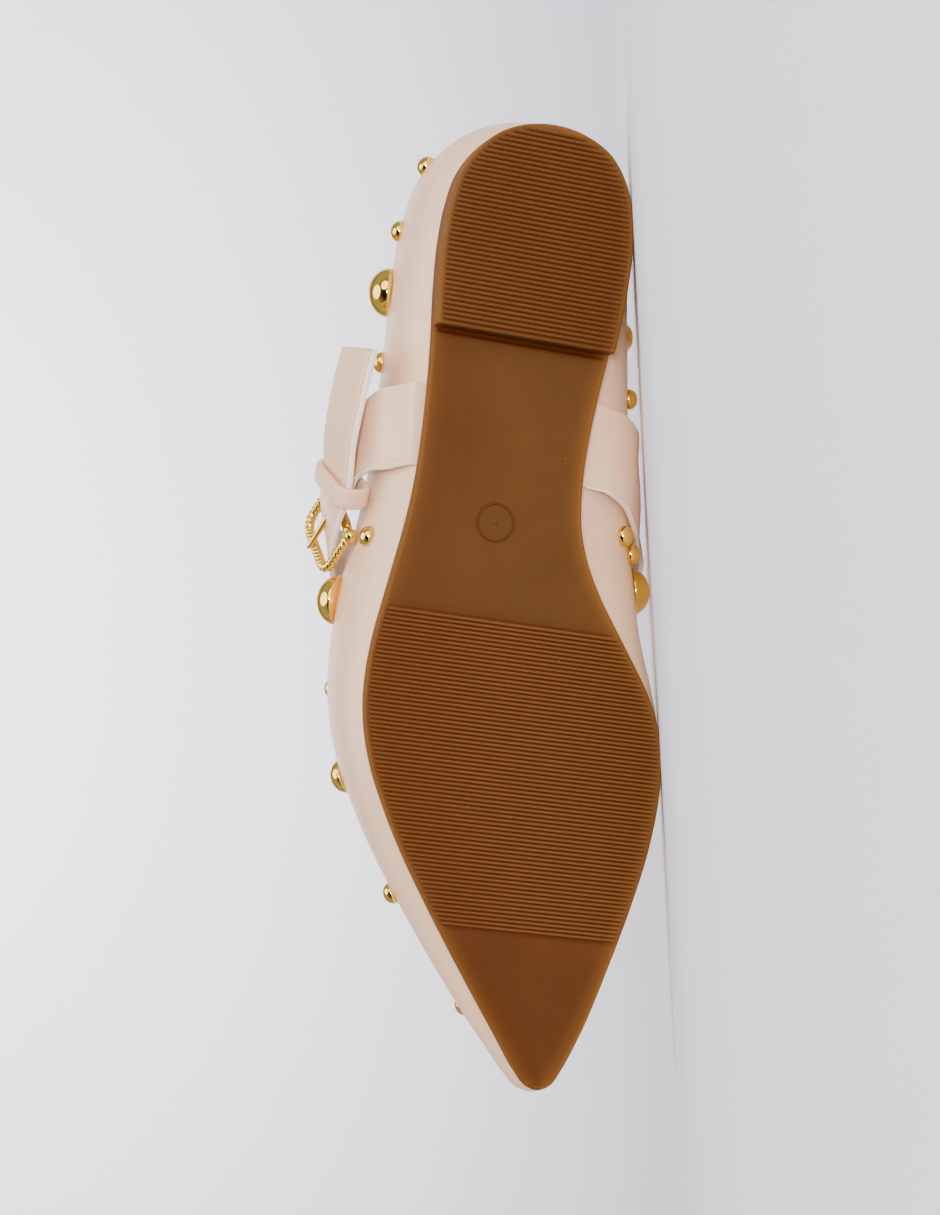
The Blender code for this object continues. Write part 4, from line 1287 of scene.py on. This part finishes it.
def make_buckle(strap, gold):
    """Rope-knurled gold frame with a ball at each end of its bar."""
    bar, reach, across, face, _ = buckle_axes(strap)
    middle = bar + reach * BUCKLE_LENGTH / 2
    corners, _ = rounded_loop(BUCKLE_LENGTH / 2, BUCKLE_WIDTH / 2, BUCKLE_CORNER)
    closed = np.vstack([corners, corners[:1]])
    length = np.append(0.0, np.cumsum(np.linalg.norm(np.diff(closed, axis=0), axis=1)))
    at = np.linspace(0.0, length[-1], ROPE_STEPS + 1)[:-1]
    plan = np.column_stack([np.interp(at, length, closed[:, i]) for i in range(2)])
    tangent = unit(np.roll(plan, -1, 0) - np.roll(plan, 1, 0))
    normal = np.column_stack([tangent[:, 1], -tangent[:, 0]])
    turns = round(length[-1] / ROPE_PITCH / 2)

    def place(column, row):
        column = column % ROPE_STEPS
        turn = row / WIRE_SIDES * FULL_TURN
        strand = np.abs(np.cos(turn - at[column] / length[-1] * turns * FULL_TURN))
        radius = BUCKLE_WIRE * (1.0 - ROPE_DEPTH * (1.0 - strand**ROPE_POWER))
        sideways = plan[column] + normal[column] * (radius * np.cos(turn))[:, None]
        upwards = face * (radius * np.sin(turn))[:, None]
        return [middle + reach * sideways[:, :1] + across * sideways[:, 1:] + upwards]

    bm = mapped_grid(ROPE_STEPS, WIRE_SIDES, place)
    for side in SIDES.values():
        ball = Matrix.Translation(bar + across * side * (BUCKLE_WIDTH / 2 + BUCKLE_WIRE * BALL_PLACE))
        bmesh.ops.create_uvsphere(
            bm, u_segments=BALL_SIDES, v_segments=BALL_RINGS, radius=BUCKLE_WIRE * BALL_SIZE, matrix=ball
        )
    add_piece("rope_buckle", bm, [gold], ["buckle_frame"])


def make_prong(strap, gold):
    """Tapered prong from the bar, over the strap, to the far side of the frame."""
    bar, reach, _, face, out = buckle_axes(strap)
    tip = bar + reach * (BUCKLE_LENGTH + PRONG_WIRE) + face * face.dot(out) * (BUCKLE_WIRE + PRONG_WIRE)
    root = bar + reach * BUCKLE_WIRE + out * (BUCKLE_WIRE + STRAP_THICKNESS / 2)
    axis = unit(tip - root)
    aside = unit(np.cross(axis, out))
    above = np.cross(aside, axis)
    length = np.linalg.norm(tip - root)

    def place(column, row):
        share = row / SECTION_STEPS
        turn = column / WIRE_SIDES * FULL_TURN
        ends = np.sqrt(1.0 - np.abs(2 * share - 1.0) ** PRONG_END_POWER)
        radius = PRONG_WIRE * (PRONG_ROOT - PRONG_TAPER * share) * ends
        around = aside * (radius * np.cos(turn))[:, None] + above * (radius * np.sin(turn))[:, None]
        return [root + axis * (length * share)[:, None] + around]

    bm = mapped_grid(WIRE_SIDES, SECTION_STEPS, place)
    add_piece("buckle_pin", bm, [gold], ["buckle_prong"])


def dome_mesh(diameter):
    """Flattened half ball with a flat base, in millimetres."""
    bm = bmesh.new()
    bmesh.ops.create_uvsphere(bm, u_segments=STUD_SIDES, v_segments=STUD_RINGS, radius=diameter / 2)
    geometry = bm.verts[:] + bm.edges[:] + bm.faces[:]
    bmesh.ops.bisect_plane(bm, geom=geometry, dist=WELD, plane_no=(0, 0, 1), clear_inner=True)
    bmesh.ops.scale(bm, vec=(1.0, 1.0, 2 * STUD_HEIGHT), verts=bm.verts)
    rim = [edge for edge in bm.edges if edge.is_boundary]
    foot = bmesh.ops.extrude_edge_only(bm, edges=rim)["geom"]
    sunk = [item for item in foot if isinstance(item, bmesh.types.BMVert)]
    bmesh.ops.translate(bm, verts=sunk, vec=(0.0, 0.0, -STUD_SINK))
    close_ends(bm)
    return finished_mesh("dome", bm)


def make_studs(gold):
    """Polished domes, joined by size."""
    for size, diameter in STUD_SIZES.items():
        chosen = [(number, stud) for number, stud in enumerate(STUDS, start=1) if stud.size == size]
        keys = np.array([LAST.key(stud.along, SIDES[stud.side]) for _, stud in chosen])
        heights = np.array([stud.height / 100.0 for _, stud in chosen])
        places, outs, runs = LAST.upper_frame(keys, heights)
        bm = bmesh.new()
        place_copies(bm, dome_mesh(diameter), places + outs * GAP, runs, outs)
        nodes = [f"stud_{number:02d}_{size}" for number, _ in chosen]
        add_piece(f"studs_{size}", bm, [gold], nodes)


def make_sweep():
    """Pale paper floor that sweeps up behind the shoe."""
    paper = bpy.data.materials.new("studio_paper")
    paper.use_nodes = True
    finish = paper.node_tree.nodes["Principled BSDF"].inputs
    finish["Base Color"].default_value = linear("#FAF8FF")
    finish["Roughness"].default_value = 0.9
    top_row = SWEEP_STEPS + 2

    def place(column, row):
        x = (column / SWEEP_COLUMNS - 0.5) * 2 * SWEEP_HALF_WIDTH
        turn = np.clip((row - 1) / SWEEP_STEPS, 0.0, 1.0) * QUARTER_TURN
        y = np.where(row == 0, SWEEP_FRONT, SWEEP_BACK - SWEEP_BEND * np.sin(turn))
        z = SWEEP_BEND * (1.0 - np.cos(turn)) + np.where(row == top_row, SWEEP_HALF_WIDTH, 0.0)
        return [np.column_stack([x, y, z])]

    mesh = finished_mesh("studio_sweep", mapped_grid(SWEEP_COLUMNS, top_row, place))
    mesh.shade_smooth()
    mesh.materials.append(paper)
    add_object("studio_sweep", mesh)


def make_surround():
    """Pale surround that darkens behind the camera, which gives the metal something to mirror."""
    world = bpy.data.worlds.new("studio_surround")
    world.use_nodes = True
    tree = world.node_tree
    towards = add_node(tree, "ShaderNodeTexCoord").outputs["Generated"]
    axes = add_node(tree, "ShaderNodeSeparateXYZ", {0: towards})
    dark = add_node(
        tree, "ShaderNodeMapRange", {"Value": axes.outputs["Y"], "From Min": 0.25, "From Max": 0.85}
    )
    tone = add_node(
        tree,
        "ShaderNodeMix",
        {MIX_SHARE: dark.outputs["Result"], MIX_FIRST: linear("#E4E3E8"), MIX_SECOND: linear("#2E2722")},
        data_type="RGBA",
    )
    background = tree.nodes["Background"].inputs
    tree.links.new(tone.outputs[MIX_COLOUR], background["Color"])
    background["Strength"].default_value = 0.7
    bpy.context.scene.world = world


def make_lights():
    """Round softboxes, each turned to its target."""
    for light in LIGHTS:
        data = bpy.data.lights.new(light.name, "AREA")
        data.shape = "DISK"
        data.size = light.size
        data.spread = math.radians(light.spread)
        data.energy = light.power
        lamp = add_object(light.name, data)
        lamp.location = light.place
        aim = Vector(light.target) - Vector(light.place)
        lamp.rotation_euler = aim.to_track_quat("-Z", "Y").to_euler()


def make_camera():
    """Camera that looks at the sole from just over the floor, rolled so that the heel is up."""
    low, high = (Vector(corner) for corner in CAD_BOX)
    tread = SHOE @ Vector((CAMERA_STATION, 0.0, 0.0))
    target = Vector((0.0, tread.y, 0.5 * (low.z + high.z)))
    place = Vector((tread.x, tread.y + CAMERA_DISTANCE * MM, CAMERA_HEIGHT * MM))
    forward = (target - place).normalized()
    up = -SHOE.col[0].xyz
    up = (up - forward * up.dot(forward)).normalized()
    right = forward.cross(up)
    turn = Matrix((right, up, -forward)).transposed().to_4x4()
    data = bpy.data.cameras.new("camera")
    data.sensor_fit = "VERTICAL"
    data.sensor_height = SENSOR_HEIGHT
    data.lens = SENSOR_HEIGHT * CAMERA_DISTANCE * MM * FRAME_FILL / (high.x - low.x)
    data.clip_start = CAMERA_CLIP * MM
    camera = add_object("camera", data)
    camera.matrix_world = Matrix.Translation(place) @ turn
    bpy.context.scene.camera = camera


def main():
    """Make the camera, the studio and every piece of the shoe."""
    leather = nappa_leather()
    lining = lining_leather()
    rubber = moulded_rubber()
    gold = polished_gold()
    thread = waxed_thread()
    make_camera()
    make_sweep()
    make_surround()
    make_lights()
    make_outsole(rubber)
    make_sole_ring(rubber)
    make_insole(lining)
    tree = make_upper(leather, lining)
    make_binding(leather)
    make_topline_stitches(thread)
    strap = Band(STRAP_ROUTE)
    make_band("instep_strap", "strap", strap, STRAP_STEPS, tree, leather)
    make_band("anchor_strap", "strap_anchor", Band(ANCHOR_ROUTE), ANCHOR_STEPS, tree, leather)
    make_keeper(strap, leather)
    make_buckle(strap, gold)
    make_prong(strap, gold)
    make_studs(gold)


main()
